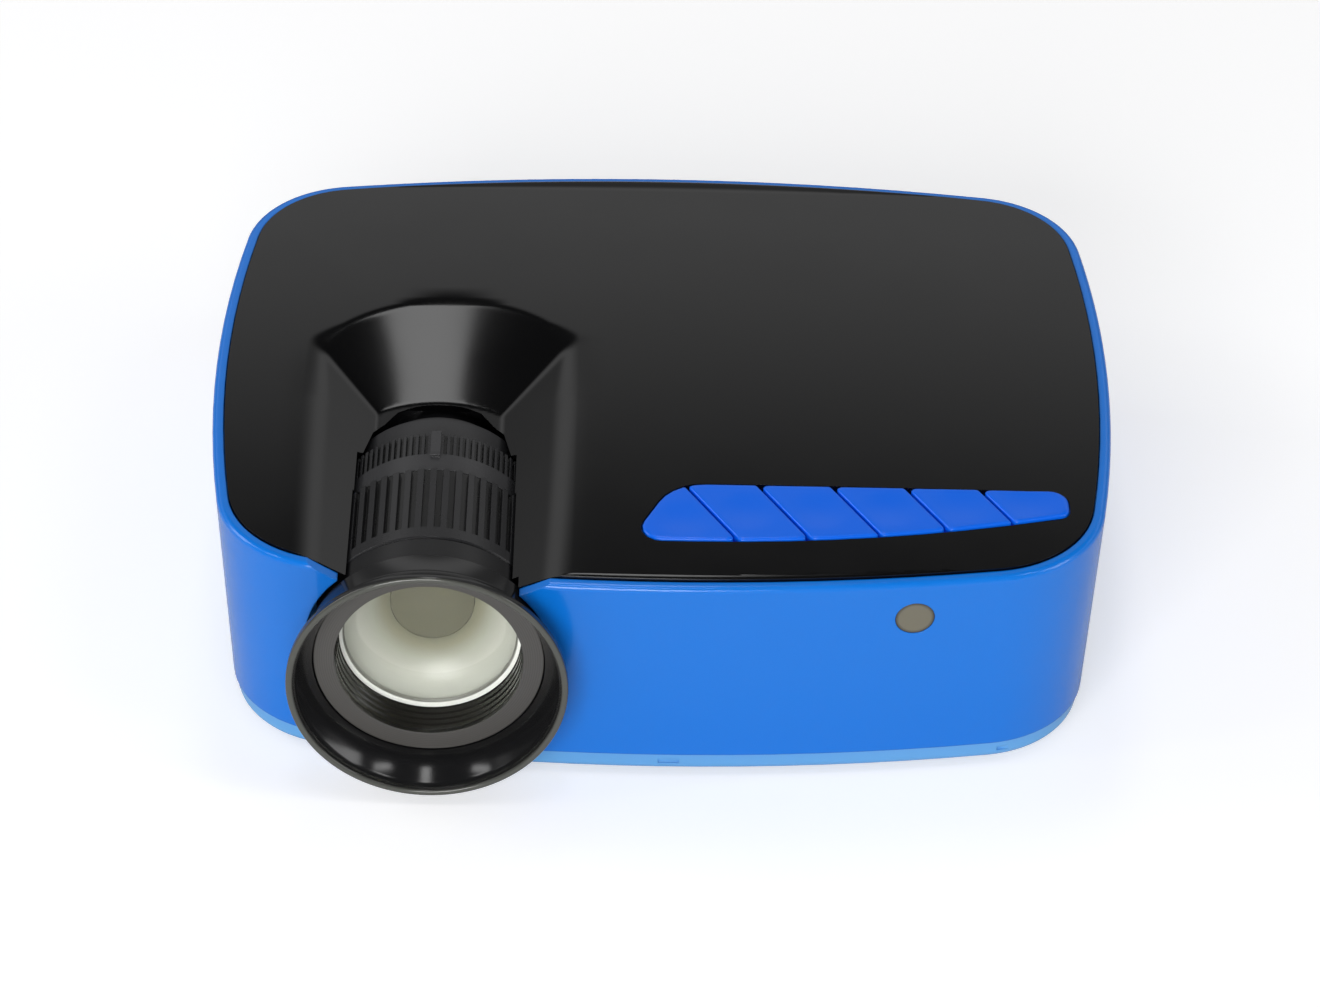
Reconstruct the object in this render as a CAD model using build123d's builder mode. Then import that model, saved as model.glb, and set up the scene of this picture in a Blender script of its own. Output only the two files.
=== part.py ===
from build123d import *
import os
from math import cos, pi, radians, sin, tan

os.makedirs("parts", exist_ok=True)

# Small LED art projector, in millimetres. +Z is up, the lens looks along -Y, and +X is the
# right-hand side as seen from the front. The origin lies on the table under the middle of the
# whole object, which is the casing with the hood in front of it.

# Casing
body_width = 200.0
body_depth = 155.0
side_bow = 7.0
front_bow = 9.4
back_bow = 8.4
front_corner = 27.8
back_corner = 25.2
foot_height = 2.3
base_height = 5.0
wall_height = 48.2
wall_draft = 2.4
shell_wall = 2.5
rim_round = 1.2
base_setback = 0.8
base_wall = 1.4
base_floor = 2.0
base_round = 1.8
base_z = foot_height
split_z = base_z + base_height
rim_z = split_z + wall_height
floor_z = base_z + base_floor

# Lens barrel, counted backwards from the hood's front edge
lens_x = -49.5
lens_drop = 22.15
lens_z = rim_z - lens_drop
hood_overhang = 8.0
hood_radius = 30.3
hood_lip = 1.4
hood_rim_length = 2.0
hood_flare_length = 8.1
hood_depth = 9.7
hood_skirt_radius = 26.4
hood_skirt_length = 5.2
barrel_radius = 25.0
barrel_reach = 20.6
focus_length = 24.8
keystone_radius = 24.0
keystone_length = 13.1
collar_radius = 17.8
collar_length = 14.6
neck_radius = 13.5
neck_length = 8.4
flange_thickness = 2.0
ring_gap = 0.3
running_gap = 0.06
seat_gap = 0.3

# Travels
focus_travel = 6.0
keystone_angle = 40.0
rod_travel = 2.6
key_travel = 0.6

# The frame: the casing is set back by half of what the hood stands out in front
body_y = hood_overhang / 2
front_y = body_y - body_depth / 2
back_y = body_y + body_depth / 2
hood_y = front_y - hood_overhang
barrel_face_y = hood_y + hood_depth
seam_y = hood_y + barrel_reach
focus_front_y = seam_y + ring_gap
focus_back_y = focus_front_y + focus_length
keystone_front_y = focus_back_y + ring_gap
keystone_back_y = keystone_front_y + keystone_length
collar_back_y = keystone_back_y + collar_length
engine_y = collar_back_y + neck_length + flange_thickness

lens_axis = Axis((lens_x, 0, lens_z), (0, 1, 0))
lens_section = Plane(origin=(lens_x, 0, lens_z), x_dir=(0, 1, 0), z_dir=(1, 0, 0))


def across_lens(y):
    """The plane square to the lens axis at y, facing forwards, centred on the axis."""
    return Plane(origin=(lens_x, y, lens_z), x_dir=(1, 0, 0), z_dir=(0, -1, 0))


def arc_radius(half_chord, bow):
    """Radius of the arc that bows by bow over a chord of twice half_chord."""
    return (half_chord ** 2 + bow ** 2) / (2 * bow)


side_half = body_width / 2 - side_bow
side_low = -body_depth / 2 + front_bow
side_high = body_depth / 2 - back_bow
side_middle = (side_low + side_high) / 2
front_radius = arc_radius(side_half, front_bow)
back_radius = arc_radius(side_half, back_bow)
side_radius = arc_radius((side_high - side_low) / 2, side_bow)


def arc_corner(end_y, end_radius, inset, towards):
    """Where the right-hand side arc and an end arc meet, both moved in by inset."""
    side_x = body_width / 2 - side_radius
    end_centre = end_y - towards * end_radius
    r1 = side_radius - inset
    r2 = end_radius - inset
    dx = -side_x
    dy = end_centre - side_middle
    apart = (dx ** 2 + dy ** 2) ** 0.5
    along = (r1 ** 2 - r2 ** 2 + apart ** 2) / (2 * apart)
    away = (r1 ** 2 - along ** 2) ** 0.5
    ux = dx / apart
    uy = dy / apart
    first = (side_x + along * ux - away * uy, side_middle + along * uy + away * ux)
    other = (side_x + along * ux + away * uy, side_middle + along * uy - away * ux)
    return first if towards * first[1] > 0 and first[0] > 0 else other


def body_plan(inset):
    """Plan outline of the casing moved in by inset: four shallow arcs with rounded corners."""
    front_x, front_end = arc_corner(-body_depth / 2, front_radius, inset, -1)
    back_x, back_end = arc_corner(body_depth / 2, back_radius, inset, 1)
    side_x = body_width / 2 - inset
    end_y = body_depth / 2 - inset
    with BuildSketch() as plan:
        with BuildLine():
            ThreePointArc((-front_x, front_end), (0, -end_y), (front_x, front_end))
            ThreePointArc((front_x, front_end), (side_x, side_middle), (back_x, back_end))
            ThreePointArc((back_x, back_end), (0, end_y), (-back_x, back_end))
            ThreePointArc((-back_x, back_end), (-side_x, side_middle), (-front_x, front_end))
        make_face()
        fillet(plan.vertices().group_by(Axis.Y)[0], front_corner - inset)
        fillet(plan.vertices().group_by(Axis.Y)[-1], back_corner - inset)
    return plan.sketch.moved(Location((0, body_y, 0)))


def drafted_body(inset):
    """The blue wall's outer form moved in by inset, drafted from the rim down to the split."""
    with BuildPart() as form:
        with BuildSketch(Plane.XY.offset(split_z)):
            add(body_plan(wall_draft + inset))
        with BuildSketch(Plane.XY.offset(rim_z)):
            add(body_plan(inset))
        loft(ruled=True)
    return form.part


def wall_setback(z):
    """How far the drafted wall lies inside the rim's outline at height z."""
    return wall_draft * (rim_z - z) / wall_height


def back_wall_y(x, z):
    """Outer face of the back wall at x and z, away from the corners."""
    return back_y - back_bow * (x / (body_width / 2 - side_bow)) ** 2 - wall_setback(z)


def front_wall_y(x, z):
    """Outer face of the front wall at x and z, away from the corners."""
    return front_y + front_bow * (x / (body_width / 2 - side_bow)) ** 2 + wall_setback(z)


# The trough in the top: sloping sides and a ramp at its rear end, open to the front
trough_half_width = 26.0
trough_depth = 6.5
trough_slope = 28.0
trough_length = 96.7
trough_arc = 13.9
ramp_run = 24.2
foot_arc = 4.0
trough_side_run = trough_depth / tan(radians(trough_slope))
trough_back_y = front_y + trough_length


def trough_plan(depth, grow):
    """Plan of the trough at depth below the rim, grown outwards by grow: sides and a rear arc."""
    share = depth / trough_depth
    half = trough_half_width - trough_side_run * share + grow
    back = trough_back_y - ramp_run * share + grow
    corner = back - trough_arc + (trough_arc - foot_arc) * share
    front = hood_y - trough_half_width
    with BuildSketch() as plan:
        with BuildLine():
            Line((lens_x - half, front), (lens_x + half, front))
            Line((lens_x + half, front), (lens_x + half, corner))
            ThreePointArc((lens_x + half, corner), (lens_x, back), (lens_x - half, corner))
            Line((lens_x - half, corner), (lens_x - half, front))
        make_face()
    return plan.sketch


def trough_form(top_depth, sink, grow):
    """The trough as a solid, sunk by sink and grown sideways by grow, with an upright foot."""
    with BuildPart() as form:
        with BuildSketch(Plane.XY.offset(rim_z - trough_depth - sink)):
            add(trough_plan(trough_depth, grow))
        with BuildSketch(Plane.XY.offset(rim_z - top_depth - sink)):
            add(trough_plan(top_depth, grow))
        loft(ruled=True)
        if grow == 0:
            with BuildSketch(Plane.XY.offset(rim_z - 2 * trough_depth)):
                add(trough_plan(trough_depth, grow))
            extrude(amount=trough_depth)
    return form.part


# Places that several pieces share
post_places = [(-85, body_y - 38), (85, body_y - 38), (-84, body_y + 47), (84, body_y + 47)]
post_radius = 3.6
post_split_z = 22.0
screw_radius = 1.45
opening_radius = 27.0
window_x = 54.7
window_z = rim_z - 9.8
window_radius = 4.2

# Light box behind the lens, from its front plate to the fan at the back wall
engine_width = 59.0
engine_length = 45.0
engine_wall = 2.0
engine_top_z = rim_z - trough_depth - 2.1
lid_thickness = 1.4
engine_base_z = 5.5
engine_pads = [(lens_x + side * 22, y) for side in (-1, 1) for y in (engine_y + 11.5, engine_y + 36)]
light_z = 26.0
sink_base = 3.0
fin_length = 9.3
fan_size = 40.0
fan_depth = 10.0
fan_z = 28.0
fan_hole_pitch = 32.0
sink_y = engine_y + engine_length
fan_y = sink_y + sink_base + fin_length + seat_gap
fan_back_y = fan_y + fan_depth

# Circuit boards, and what stands on them at the back wall
board_thickness = 1.6
main_board_z = 12.0
main_board_x = (-16.0, 42.0)
main_board_y = (20.0, 72.0)
power_board_z = 9.0
power_board_x = (46.0, 76.0)
power_board_y = (-10.0, 64.0)
board_margin = 3.5
port_gap = 0.3
port_recess = 0.8
port_window_x = 12.75
port_window_z = 20.6
port_window_width = 64.5
port_window_height = 17.8
port_window_corner = 2.5
ports = {
    "video_port": (-8.0, 15.4, 6.2),
    "data_ports": (8.5, 14.2, 14.4),
    "audio_jack": (22.5, 7.0, 7.0),
    "card_slot": (34.0, 13.0, 4.2),
}
inlet_x = 58.0
inlet_width = 20.4
inlet_height = 12.6


def port_window(grow):
    """Prism through the back wall over the ports, grown sideways by grow."""
    with BuildPart() as prism:
        with BuildSketch(Plane(origin=(port_window_x, back_y, port_window_z), x_dir=(1, 0, 0),
                               z_dir=(0, -1, 0))):
            RectangleRounded(port_window_width + 2 * grow, port_window_height + 2 * grow,
                             port_window_corner + grow)
        extrude(amount=4 * shell_wall + back_bow)
    return prism.part



# Keys: a strip at the front right of the top, cut into six by five slanted slits
key_strip_back_y = front_y + 35.1
key_strip_left = -6.5
key_strip_right = 84.5
key_strip_depth = 19.6
key_strip_bow = 10.3
key_tip_reach = 88.2
key_first_slit = 4.9
key_pitch = 16.1
key_slant = 31.0
key_slit = 0.8
key_gap = 0.3
key_crown = 1.6
key_crown_fall = 0.5
key_bevel = 0.35
key_names = ["power_button", "source_button", "menu_button", "back_button", "minus_button",
             "plus_button"]


def grown(points, grow):
    """A convex outline, given anticlockwise, with every side moved out by grow."""
    moved = []
    for index, (x, y) in enumerate(points):
        before_x, before_y = points[index - 1]
        after_x, after_y = points[(index + 1) % len(points)]
        length_in = ((x - before_x) ** 2 + (y - before_y) ** 2) ** 0.5
        length_out = ((after_x - x) ** 2 + (after_y - y) ** 2) ** 0.5
        in_x, in_y = (y - before_y) / length_in, (before_x - x) / length_in
        out_x, out_y = (after_y - y) / length_out, (x - after_x) / length_out
        scale = grow / (1 + in_x * out_x + in_y * out_y)
        moved.append((x + scale * (in_x + out_x), y + scale * (in_y + out_y)))
    return moved


def key_strip(grow):
    """Outline of the whole key strip grown by grow: straight back edge, bowed front, round ends."""
    back = key_strip_back_y
    low = back - key_strip_depth
    front_steps = 8
    points = [(key_strip_left, low)]
    for step in range(front_steps + 1):
        x = 8 + (key_strip_right - 8) * step / front_steps
        points.append((x, low + key_strip_bow * (x - 8) ** 2 / (key_strip_right - 8) ** 2 + 0.02 * step))
    points += [(key_tip_reach, back - 5.4), (key_strip_right - 2.5, back), (key_strip_left + 9, back)]
    with BuildSketch() as strip:
        with BuildLine():
            Polyline(*grown(points, grow), close=True)
        make_face()
        corners = strip.vertices()
        fillet(corners.sort_by(Axis.X)[0], 3.5 + grow)
        fillet(corners.sort_by(Axis.X)[-1], 2.0 + grow)
        fillet(corners.filter_by(lambda v: v.Y > back + grow - 0.1).sort_by(Axis.X)[0], 6.0 + grow)
    return strip.sketch


def key_cell(index, slit):
    """The slanted stretch of the strip that one key fills, half a slit in from each side."""
    lean = tan(radians(key_slant))
    far = 6.0
    top = key_strip_back_y + far
    low = key_strip_back_y - key_strip_depth - far
    slits = [key_strip_left - 40] + [key_first_slit + key_pitch * i for i in range(5)] + [130.0]
    left = slits[index] + slit / 2
    right = slits[index + 1] - slit / 2
    drop = lean * (key_strip_depth + far)
    with BuildSketch() as cell:
        with BuildLine():
            Polyline((left - lean * far, top), (right - lean * far, top), (right + drop, low),
                     (left + drop, low), close=True)
        make_face()
    return cell.sketch


def key_centre(index):
    """Middle of a key, where its stem presses the switch below."""
    if index == 0:
        return (4.0, key_strip_back_y - 11.5)
    if index == 5:
        return (78.5, key_strip_back_y - 6.5)
    x = key_first_slit + key_pitch * (index - 0.5) + tan(radians(key_slant)) * 8.0
    return (x, key_strip_back_y - 8.0)


# Black top cover: a crowned panel inside the blue rim, with the trough's walls, the key slot,
# four screw posts and the posts that carry the key board
panel_gap = 0.3
panel_depth = 2.4
panel_crown = 1.5
crown_radius = 5200.0
panel_straight = 0.2
cover_wall = 1.6
cover_skin_z = rim_z - 0.7
neck_clearance = 1.2
pocket_radius = 28.0
key_board_z = cover_skin_z - 6.8
key_post_places = [(-12, front_y + 19), (-10, front_y + 39.5), (34, front_y + 39.5),
                   (75, front_y + 39.5)]
crown_centre_z = rim_z + panel_crown - crown_radius
wall_sink = 1.6
trough_tool = trough_form(-2 * panel_crown, 0, 0)
trough_wall_form = trough_form(-wall_sink - 0.2, wall_sink, 0.9)

with BuildPart() as trough_walls:
    with BuildSketch(Plane.XY.offset(rim_z - 2 * trough_depth)):
        add(body_plan(shell_wall + panel_gap))
    extrude(amount=2 * trough_depth - 0.2)
    add(trough_wall_form, mode=Mode.INTERSECT)

with BuildPart() as top_cover:
    with BuildSketch(Plane.XY.offset(rim_z - panel_depth)):
        add(body_plan(shell_wall + panel_gap))
    extrude(amount=panel_depth + panel_straight)
    with BuildSketch(Plane.XY.offset(rim_z + panel_straight)):
        add(body_plan(shell_wall + panel_gap))
    with BuildSketch(Plane.XY.offset(rim_z + panel_straight + 2 * panel_crown)):
        add(body_plan(shell_wall + panel_gap + 2 * panel_crown))
    loft(ruled=True)
    with Locations((0, body_y, crown_centre_z)):
        Sphere(crown_radius, mode=Mode.INTERSECT)
    with BuildSketch(Plane.XY.offset(rim_z - panel_depth)):
        add(body_plan(shell_wall + panel_gap + cover_wall))
    extrude(amount=cover_skin_z - rim_z + panel_depth, mode=Mode.SUBTRACT)
    add(trough_walls.part)
    add(trough_tool, mode=Mode.SUBTRACT)
    with BuildSketch(across_lens(focus_back_y)):
        Circle(opening_radius)
    extrude(amount=body_depth / 2, mode=Mode.SUBTRACT)
    with BuildSketch(across_lens(collar_back_y - neck_clearance)):
        Circle(pocket_radius)
    extrude(amount=collar_back_y - neck_clearance - focus_back_y, mode=Mode.SUBTRACT)
    with BuildSketch(across_lens(engine_y)):
        Circle(neck_radius + neck_clearance)
    extrude(amount=engine_y - collar_back_y + 2 * neck_clearance, mode=Mode.SUBTRACT)
    with BuildSketch(Plane.XY.offset(cover_skin_z - 1)):
        add(key_strip(key_gap))
    extrude(amount=panel_depth + 2 * panel_crown, mode=Mode.SUBTRACT)
    with BuildSketch(Plane.XY.offset(post_split_z)):
        with Locations(post_places):
            Circle(post_radius)
            Circle(screw_radius + running_gap, mode=Mode.SUBTRACT)
    extrude(amount=cover_skin_z - post_split_z)
    with BuildSketch(Plane.XY.offset(key_board_z)):
        with Locations(key_post_places):
            Circle(2.4)
            Circle(1.0, mode=Mode.SUBTRACT)
    extrude(amount=cover_skin_z - key_board_z)
top_cover.part.label = "top_cover"
export_step(top_cover.part, "parts/top_cover.step")

# Blue housing: a drafted wall all round, with a ledge under the cover, a lap tongue inside the
# base, the lens opening, the receiver hole, side vents, the fan grille and the port window
ledge_width = 2.6
ledge_height = 2.0
ledge_root = 0.4
ledge_z = rim_z - panel_depth - ledge_height
tongue_inset = wall_draft + base_setback + base_wall + 0.12
tongue_width = 1.3
tongue_drop = 2.4
tongue_rise = 2.6
vent_count = 13
vent_pitch = 5.0
vent_width = 2.0
vent_height = 22.0
vent_z = 25.0
vent_y = body_y + 4
grille_count = 9
grille_pitch = 4.6
grille_slot = 2.2
fan_boss_radius = 3.4

with BuildPart() as fan_bosses:
    with BuildSketch(Plane(origin=(lens_x, fan_back_y, fan_z), x_dir=(1, 0, 0), z_dir=(0, -1, 0))):
        with GridLocations(fan_hole_pitch, fan_hole_pitch, 2, 2):
            Circle(fan_boss_radius)
            Circle(screw_radius + running_gap, mode=Mode.SUBTRACT)
    extrude(amount=-body_depth / 4)
    add(drafted_body(shell_wall / 2), mode=Mode.INTERSECT)

with BuildPart() as housing:
    add(drafted_body(0))
    fillet(housing.edges().group_by(Axis.Z)[-1], rim_round)
    add(drafted_body(shell_wall), mode=Mode.SUBTRACT)
    with BuildSketch(Plane.XY.offset(ledge_z)):
        add(body_plan(shell_wall - ledge_root))
        add(body_plan(shell_wall + ledge_width), mode=Mode.SUBTRACT)
    extrude(amount=ledge_height)
    with BuildSketch(Plane.XY.offset(split_z - tongue_drop)):
        add(body_plan(tongue_inset))
        add(body_plan(tongue_inset + tongue_width), mode=Mode.SUBTRACT)
    extrude(amount=tongue_drop + tongue_rise)
    with BuildSketch(Plane.XY.offset(split_z)):
        add(body_plan(wall_draft + shell_wall / 2))
        add(body_plan(tongue_inset + tongue_width), mode=Mode.SUBTRACT)
    extrude(amount=tongue_rise)
    add(fan_bosses.part)
    add(trough_tool, mode=Mode.SUBTRACT)
    with BuildSketch(Plane.XY.offset(ledge_z)):
        with Locations((lens_x, front_y)):
            Rectangle(2 * (trough_half_width + cover_wall + seat_gap), body_depth / 4)
        add(body_plan(shell_wall + wall_setback(ledge_z)), mode=Mode.INTERSECT)
    extrude(amount=ledge_height, mode=Mode.SUBTRACT)
    with BuildSketch(across_lens(seam_y)):
        Circle(opening_radius)
    extrude(amount=body_depth / 4, mode=Mode.SUBTRACT)
    with BuildSketch(Plane(origin=(window_x, front_y + 12, window_z), x_dir=(1, 0, 0), z_dir=(0, -1, 0))):
        Circle(window_radius + running_gap)
    extrude(amount=20, mode=Mode.SUBTRACT)
    with BuildSketch(Plane.YZ):
        with Locations((vent_y, vent_z)):
            with GridLocations(vent_pitch, 0, vent_count, 1):
                SlotOverall(vent_height, vent_width, rotation=90)
    extrude(amount=body_width, both=True, mode=Mode.SUBTRACT)
    with BuildSketch(Plane(origin=(lens_x, fan_back_y - 2, fan_z), x_dir=(1, 0, 0), z_dir=(0, -1, 0))):
        Circle(fan_size / 2 - 1)
        with GridLocations(0, grille_pitch, 1, grille_count + 1):
            Rectangle(fan_size, grille_pitch - grille_slot, mode=Mode.SUBTRACT)
    extrude(amount=-20, mode=Mode.SUBTRACT)
    add(port_window(0), mode=Mode.SUBTRACT)
    with Locations((inlet_x, back_wall_y(inlet_x, power_board_z), power_board_z + board_thickness
                    + inlet_height / 2)):
        Box(inlet_width + 2 * port_gap, 14, inlet_height + 2 * port_gap, mode=Mode.SUBTRACT)
housing.part.label = "housing"
export_step(housing.part, "parts/housing.step")

# Black port panel: fills the window in the back wall, with a lip behind the wall that holds it,
# and a hole for each port
port_panel_recess = 0.4
port_panel_gap = 0.15
port_lip = 1.2
port_lip_front = shell_wall + running_gap
port_lip_back = port_lip_front + 1.0

with BuildPart() as port_panel_lip:
    add(drafted_body(port_lip_front))
    add(drafted_body(port_lip_back), mode=Mode.SUBTRACT)
    add(port_window(port_lip), mode=Mode.INTERSECT)

with BuildPart() as port_panel:
    add(drafted_body(port_panel_recess))
    add(drafted_body(port_lip_back), mode=Mode.SUBTRACT)
    add(port_window(-port_panel_gap), mode=Mode.INTERSECT)
    add(port_panel_lip.part)
    for port_x, port_width, port_height in ports.values():
        port_z = main_board_z + board_thickness + port_height / 2
        with Locations((port_x, back_wall_y(port_x, port_z), port_z)):
            Box(port_width + 2 * port_gap, 12, port_height + 2 * port_gap, mode=Mode.SUBTRACT)
port_panel.part.label = "port_panel"
export_step(port_panel.part, "parts/port_panel.step")

# Blue bottom cover: a shallow tray with a rolled lower edge, posts for the case screws, board
# stand-offs, the tripod boss, foot recesses, air slots and the holes under the speaker
foot_places = [(-76, body_y - 52), (76, body_y - 52), (-74, body_y + 50), (74, body_y + 50)]
foot_radius = 6.0
foot_recess = 0.8
tripod_x = 0.0
tripod_y = body_y
tripod_boss_radius = 8.0
insert_radius = 4.5
insert_length = 9.0
tripod_thread_radius = 2.6
speaker_x = 62.0
speaker_y = body_y - 42
speaker_radius = 14.0
air_slot_x = 26.0
air_slot_y = body_y - 42
standoff_radius = 3.0
notch_width = 4.6
notch_height = 1.2
notch_depth = 0.5
notch_xs = [2.6, 77.0]


main_corners = [(-12.5, 23.5), (38.5, 23.5), (-12.5, 56), (38.5, 56)]
power_corners = [(49.5, -6.5), (72.5, -6.5), (49.5, 53.5), (72.5, 53.5)]

with BuildPart() as bottom_cover:
    with BuildSketch(Plane.XY.offset(base_z)):
        add(body_plan(wall_draft + base_setback))
    extrude(amount=base_height)
    fillet(bottom_cover.edges().group_by(Axis.Z)[0], base_round)
    with BuildSketch(Plane.XY.offset(floor_z)):
        add(body_plan(wall_draft + base_setback + base_wall))
    extrude(amount=base_height, mode=Mode.SUBTRACT)
    with BuildSketch(Plane.XY.offset(floor_z)):
        with Locations(post_places):
            Circle(post_radius + 0.6)
    extrude(amount=post_split_z - floor_z)
    with BuildSketch(Plane.XY.offset(base_z)):
        with Locations(post_places):
            Circle(screw_radius + 0.2)
    extrude(amount=post_split_z, mode=Mode.SUBTRACT)
    with BuildSketch(Plane.XY.offset(base_z)):
        with Locations(post_places):
            Circle(3.1)
    extrude(amount=9.0, mode=Mode.SUBTRACT)
    with BuildSketch(Plane.XY.offset(floor_z)):
        with Locations((tripod_x, tripod_y)):
            Circle(tripod_boss_radius)
    extrude(amount=insert_length)
    with BuildSketch(Plane.XY.offset(base_z)):
        with Locations((tripod_x, tripod_y)):
            Circle(insert_radius)
    extrude(amount=insert_length, mode=Mode.SUBTRACT)
    with BuildSketch(Plane.XY.offset(floor_z)):
        with Locations(main_corners):
            Circle(standoff_radius)
            Circle(1.0, mode=Mode.SUBTRACT)
    extrude(amount=main_board_z - floor_z)
    with BuildSketch(Plane.XY.offset(floor_z)):
        with Locations(power_corners):
            Circle(standoff_radius)
            Circle(1.0, mode=Mode.SUBTRACT)
    extrude(amount=power_board_z - floor_z)
    with BuildSketch(Plane.XY.offset(floor_z)):
        with Locations(engine_pads):
            Circle(4.0)
    extrude(amount=engine_base_z - floor_z)
    with BuildSketch(Plane.XY.offset(base_z + base_floor / 2)):
        with Locations(engine_pads):
            Circle(screw_radius)
    extrude(amount=engine_base_z, mode=Mode.SUBTRACT)
    with BuildSketch(Plane.XY.offset(floor_z)):
        with Locations((speaker_x, speaker_y)):
            Circle(speaker_radius + 1.6)
            Circle(speaker_radius - 2.0, mode=Mode.SUBTRACT)
    extrude(amount=1.0)
    with BuildSketch(Plane.XY.offset(base_z)):
        with Locations(foot_places):
            Circle(foot_radius + running_gap)
    extrude(amount=foot_recess, mode=Mode.SUBTRACT)
    with BuildSketch(Plane.XY.offset(base_z)):
        with Locations((air_slot_x, air_slot_y)):
            with GridLocations(4.5, 0, 8, 1):
                SlotOverall(22, 2, rotation=90)
        with Locations((speaker_x, speaker_y)):
            with GridLocations(4.5, 4.5, 5, 5):
                Circle(1.1)
    extrude(amount=base_floor, mode=Mode.SUBTRACT)
    with BuildSketch(across_lens(seam_y)):
        Circle(opening_radius)
    extrude(amount=body_depth / 4, mode=Mode.SUBTRACT)
    for notch_x in notch_xs:
        notch_y = front_wall_y(notch_x, split_z) + base_setback
        with Locations((notch_x, notch_y, split_z - base_height / 2)):
            Box(notch_width, 2 * notch_depth, notch_height, mode=Mode.SUBTRACT)
bottom_cover.part.label = "bottom_cover"
export_step(bottom_cover.part, "parts/bottom_cover.step")

# Six keys: the cap fills its stretch of the strip, the flange under the panel keeps it in, and
# the stem stands over its switch
key_flange_top = cover_skin_z - seat_gap
key_flange = 1.0
key_flange_grow = 1.2
key_flange_slit = 0.4
switch_height = 1.6
switch_gap = key_travel + seat_gap
key_stem_z = key_board_z + switch_height + switch_gap

for index, key_name in enumerate(key_names):
    top_z = rim_z + key_crown - key_crown_fall * (key_centre(index)[0] / side_half) ** 2
    with BuildPart() as key:
        with BuildSketch(Plane.XY.offset(key_flange_top - key_flange)):
            add(key_strip(0))
            add(key_cell(index, key_slit), mode=Mode.INTERSECT)
        extrude(amount=top_z - key_flange_top + key_flange)
        chamfer(key.edges().group_by(Axis.Z)[-1], key_bevel)
        with BuildSketch(Plane.XY.offset(key_flange_top - key_flange)):
            add(key_strip(key_flange_grow))
            add(key_cell(index, key_flange_slit), mode=Mode.INTERSECT)
        extrude(amount=key_flange)
        with BuildSketch(Plane.XY.offset(key_stem_z)):
            with Locations(key_centre(index)):
                Circle(1.7)
        extrude(amount=key_flange_top - key_stem_z)
    key.part.label = key_name
    export_step(key.part, f"parts/{key_name}.step")

# Key board under the strip: a circuit board with six switches, hung from the cover's posts
with BuildPart() as keypad_board:
    with BuildSketch(Plane.XY.offset(key_board_z - board_thickness)):
        with BuildLine():
            Polyline((-15, front_y + 16), (66, front_y + 16), (83, front_y + 24),
                     (83, front_y + 33), (79, front_y + 36), (79, front_y + 42.5),
                     (-15, front_y + 42.5), close=True)
        make_face()
        with Locations(key_post_places):
            Circle(1.1, mode=Mode.SUBTRACT)
    extrude(amount=board_thickness)
    for index in range(len(key_names)):
        centre_x, centre_y = key_centre(index)
        with Locations((centre_x, centre_y, key_board_z)):
            Box(6, 6, 1.0, align=(Align.CENTER, Align.CENTER, Align.MIN))
            Cylinder(1.7, switch_height, align=(Align.CENTER, Align.CENTER, Align.MIN))
keypad_board.part.label = "keypad_board"
export_step(keypad_board.part, "parts/keypad_board.step")

# Receiver window: a tinted plug that follows the front wall's face, with a rim behind the wall
window_back_y = front_wall_y(window_x, window_z) + shell_wall + 3.2
window_rim_y = front_wall_y(window_x + window_radius + 2, window_z - window_radius) + shell_wall + 0.6
with BuildPart() as ir_window:
    with BuildSketch(Plane(origin=(window_x, window_back_y, window_z), x_dir=(1, 0, 0),
                           z_dir=(0, -1, 0))):
        Circle(window_radius)
    extrude(amount=20)
    add(drafted_body(0.1), mode=Mode.INTERSECT)
    with BuildSketch(Plane(origin=(window_x, window_back_y, window_z), x_dir=(1, 0, 0),
                           z_dir=(0, -1, 0))):
        Circle(window_radius + 1.2)
    extrude(amount=window_back_y - window_rim_y)
ir_window.part.label = "ir_window"
export_step(ir_window.part, "parts/ir_window.step")

# Receiver: a small block with a round eye, on the front edge of the key board
with BuildPart() as ir_receiver:
    with Locations((window_x, front_y + 16, window_z)):
        Box(7.0, 3.5, 8.0, align=(Align.CENTER, Align.MAX, Align.CENTER))
    with Locations((window_x, front_y + 12.5, window_z)):
        Sphere(2.2)
ir_receiver.part.label = "ir_receiver"
export_step(ir_receiver.part, "parts/ir_receiver.step")

# Lens tube: it carries both rings outside and the sliding barrel inside, narrows to the collar
# and the neck, and ends in the flange on the light box
tube_radius = 22.4
tube_bore = 20.9
tube_front_y = seam_y + 0.6
shoulder_y = keystone_front_y + 2.6
web = 1.6
collar_bore = 15.8
neck_bore = 12.0
flange_half_width = 20.0
flange_above = 13.2
flange_below = 23.0
rod_drop = 20.2
rod_radius = 1.5

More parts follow.
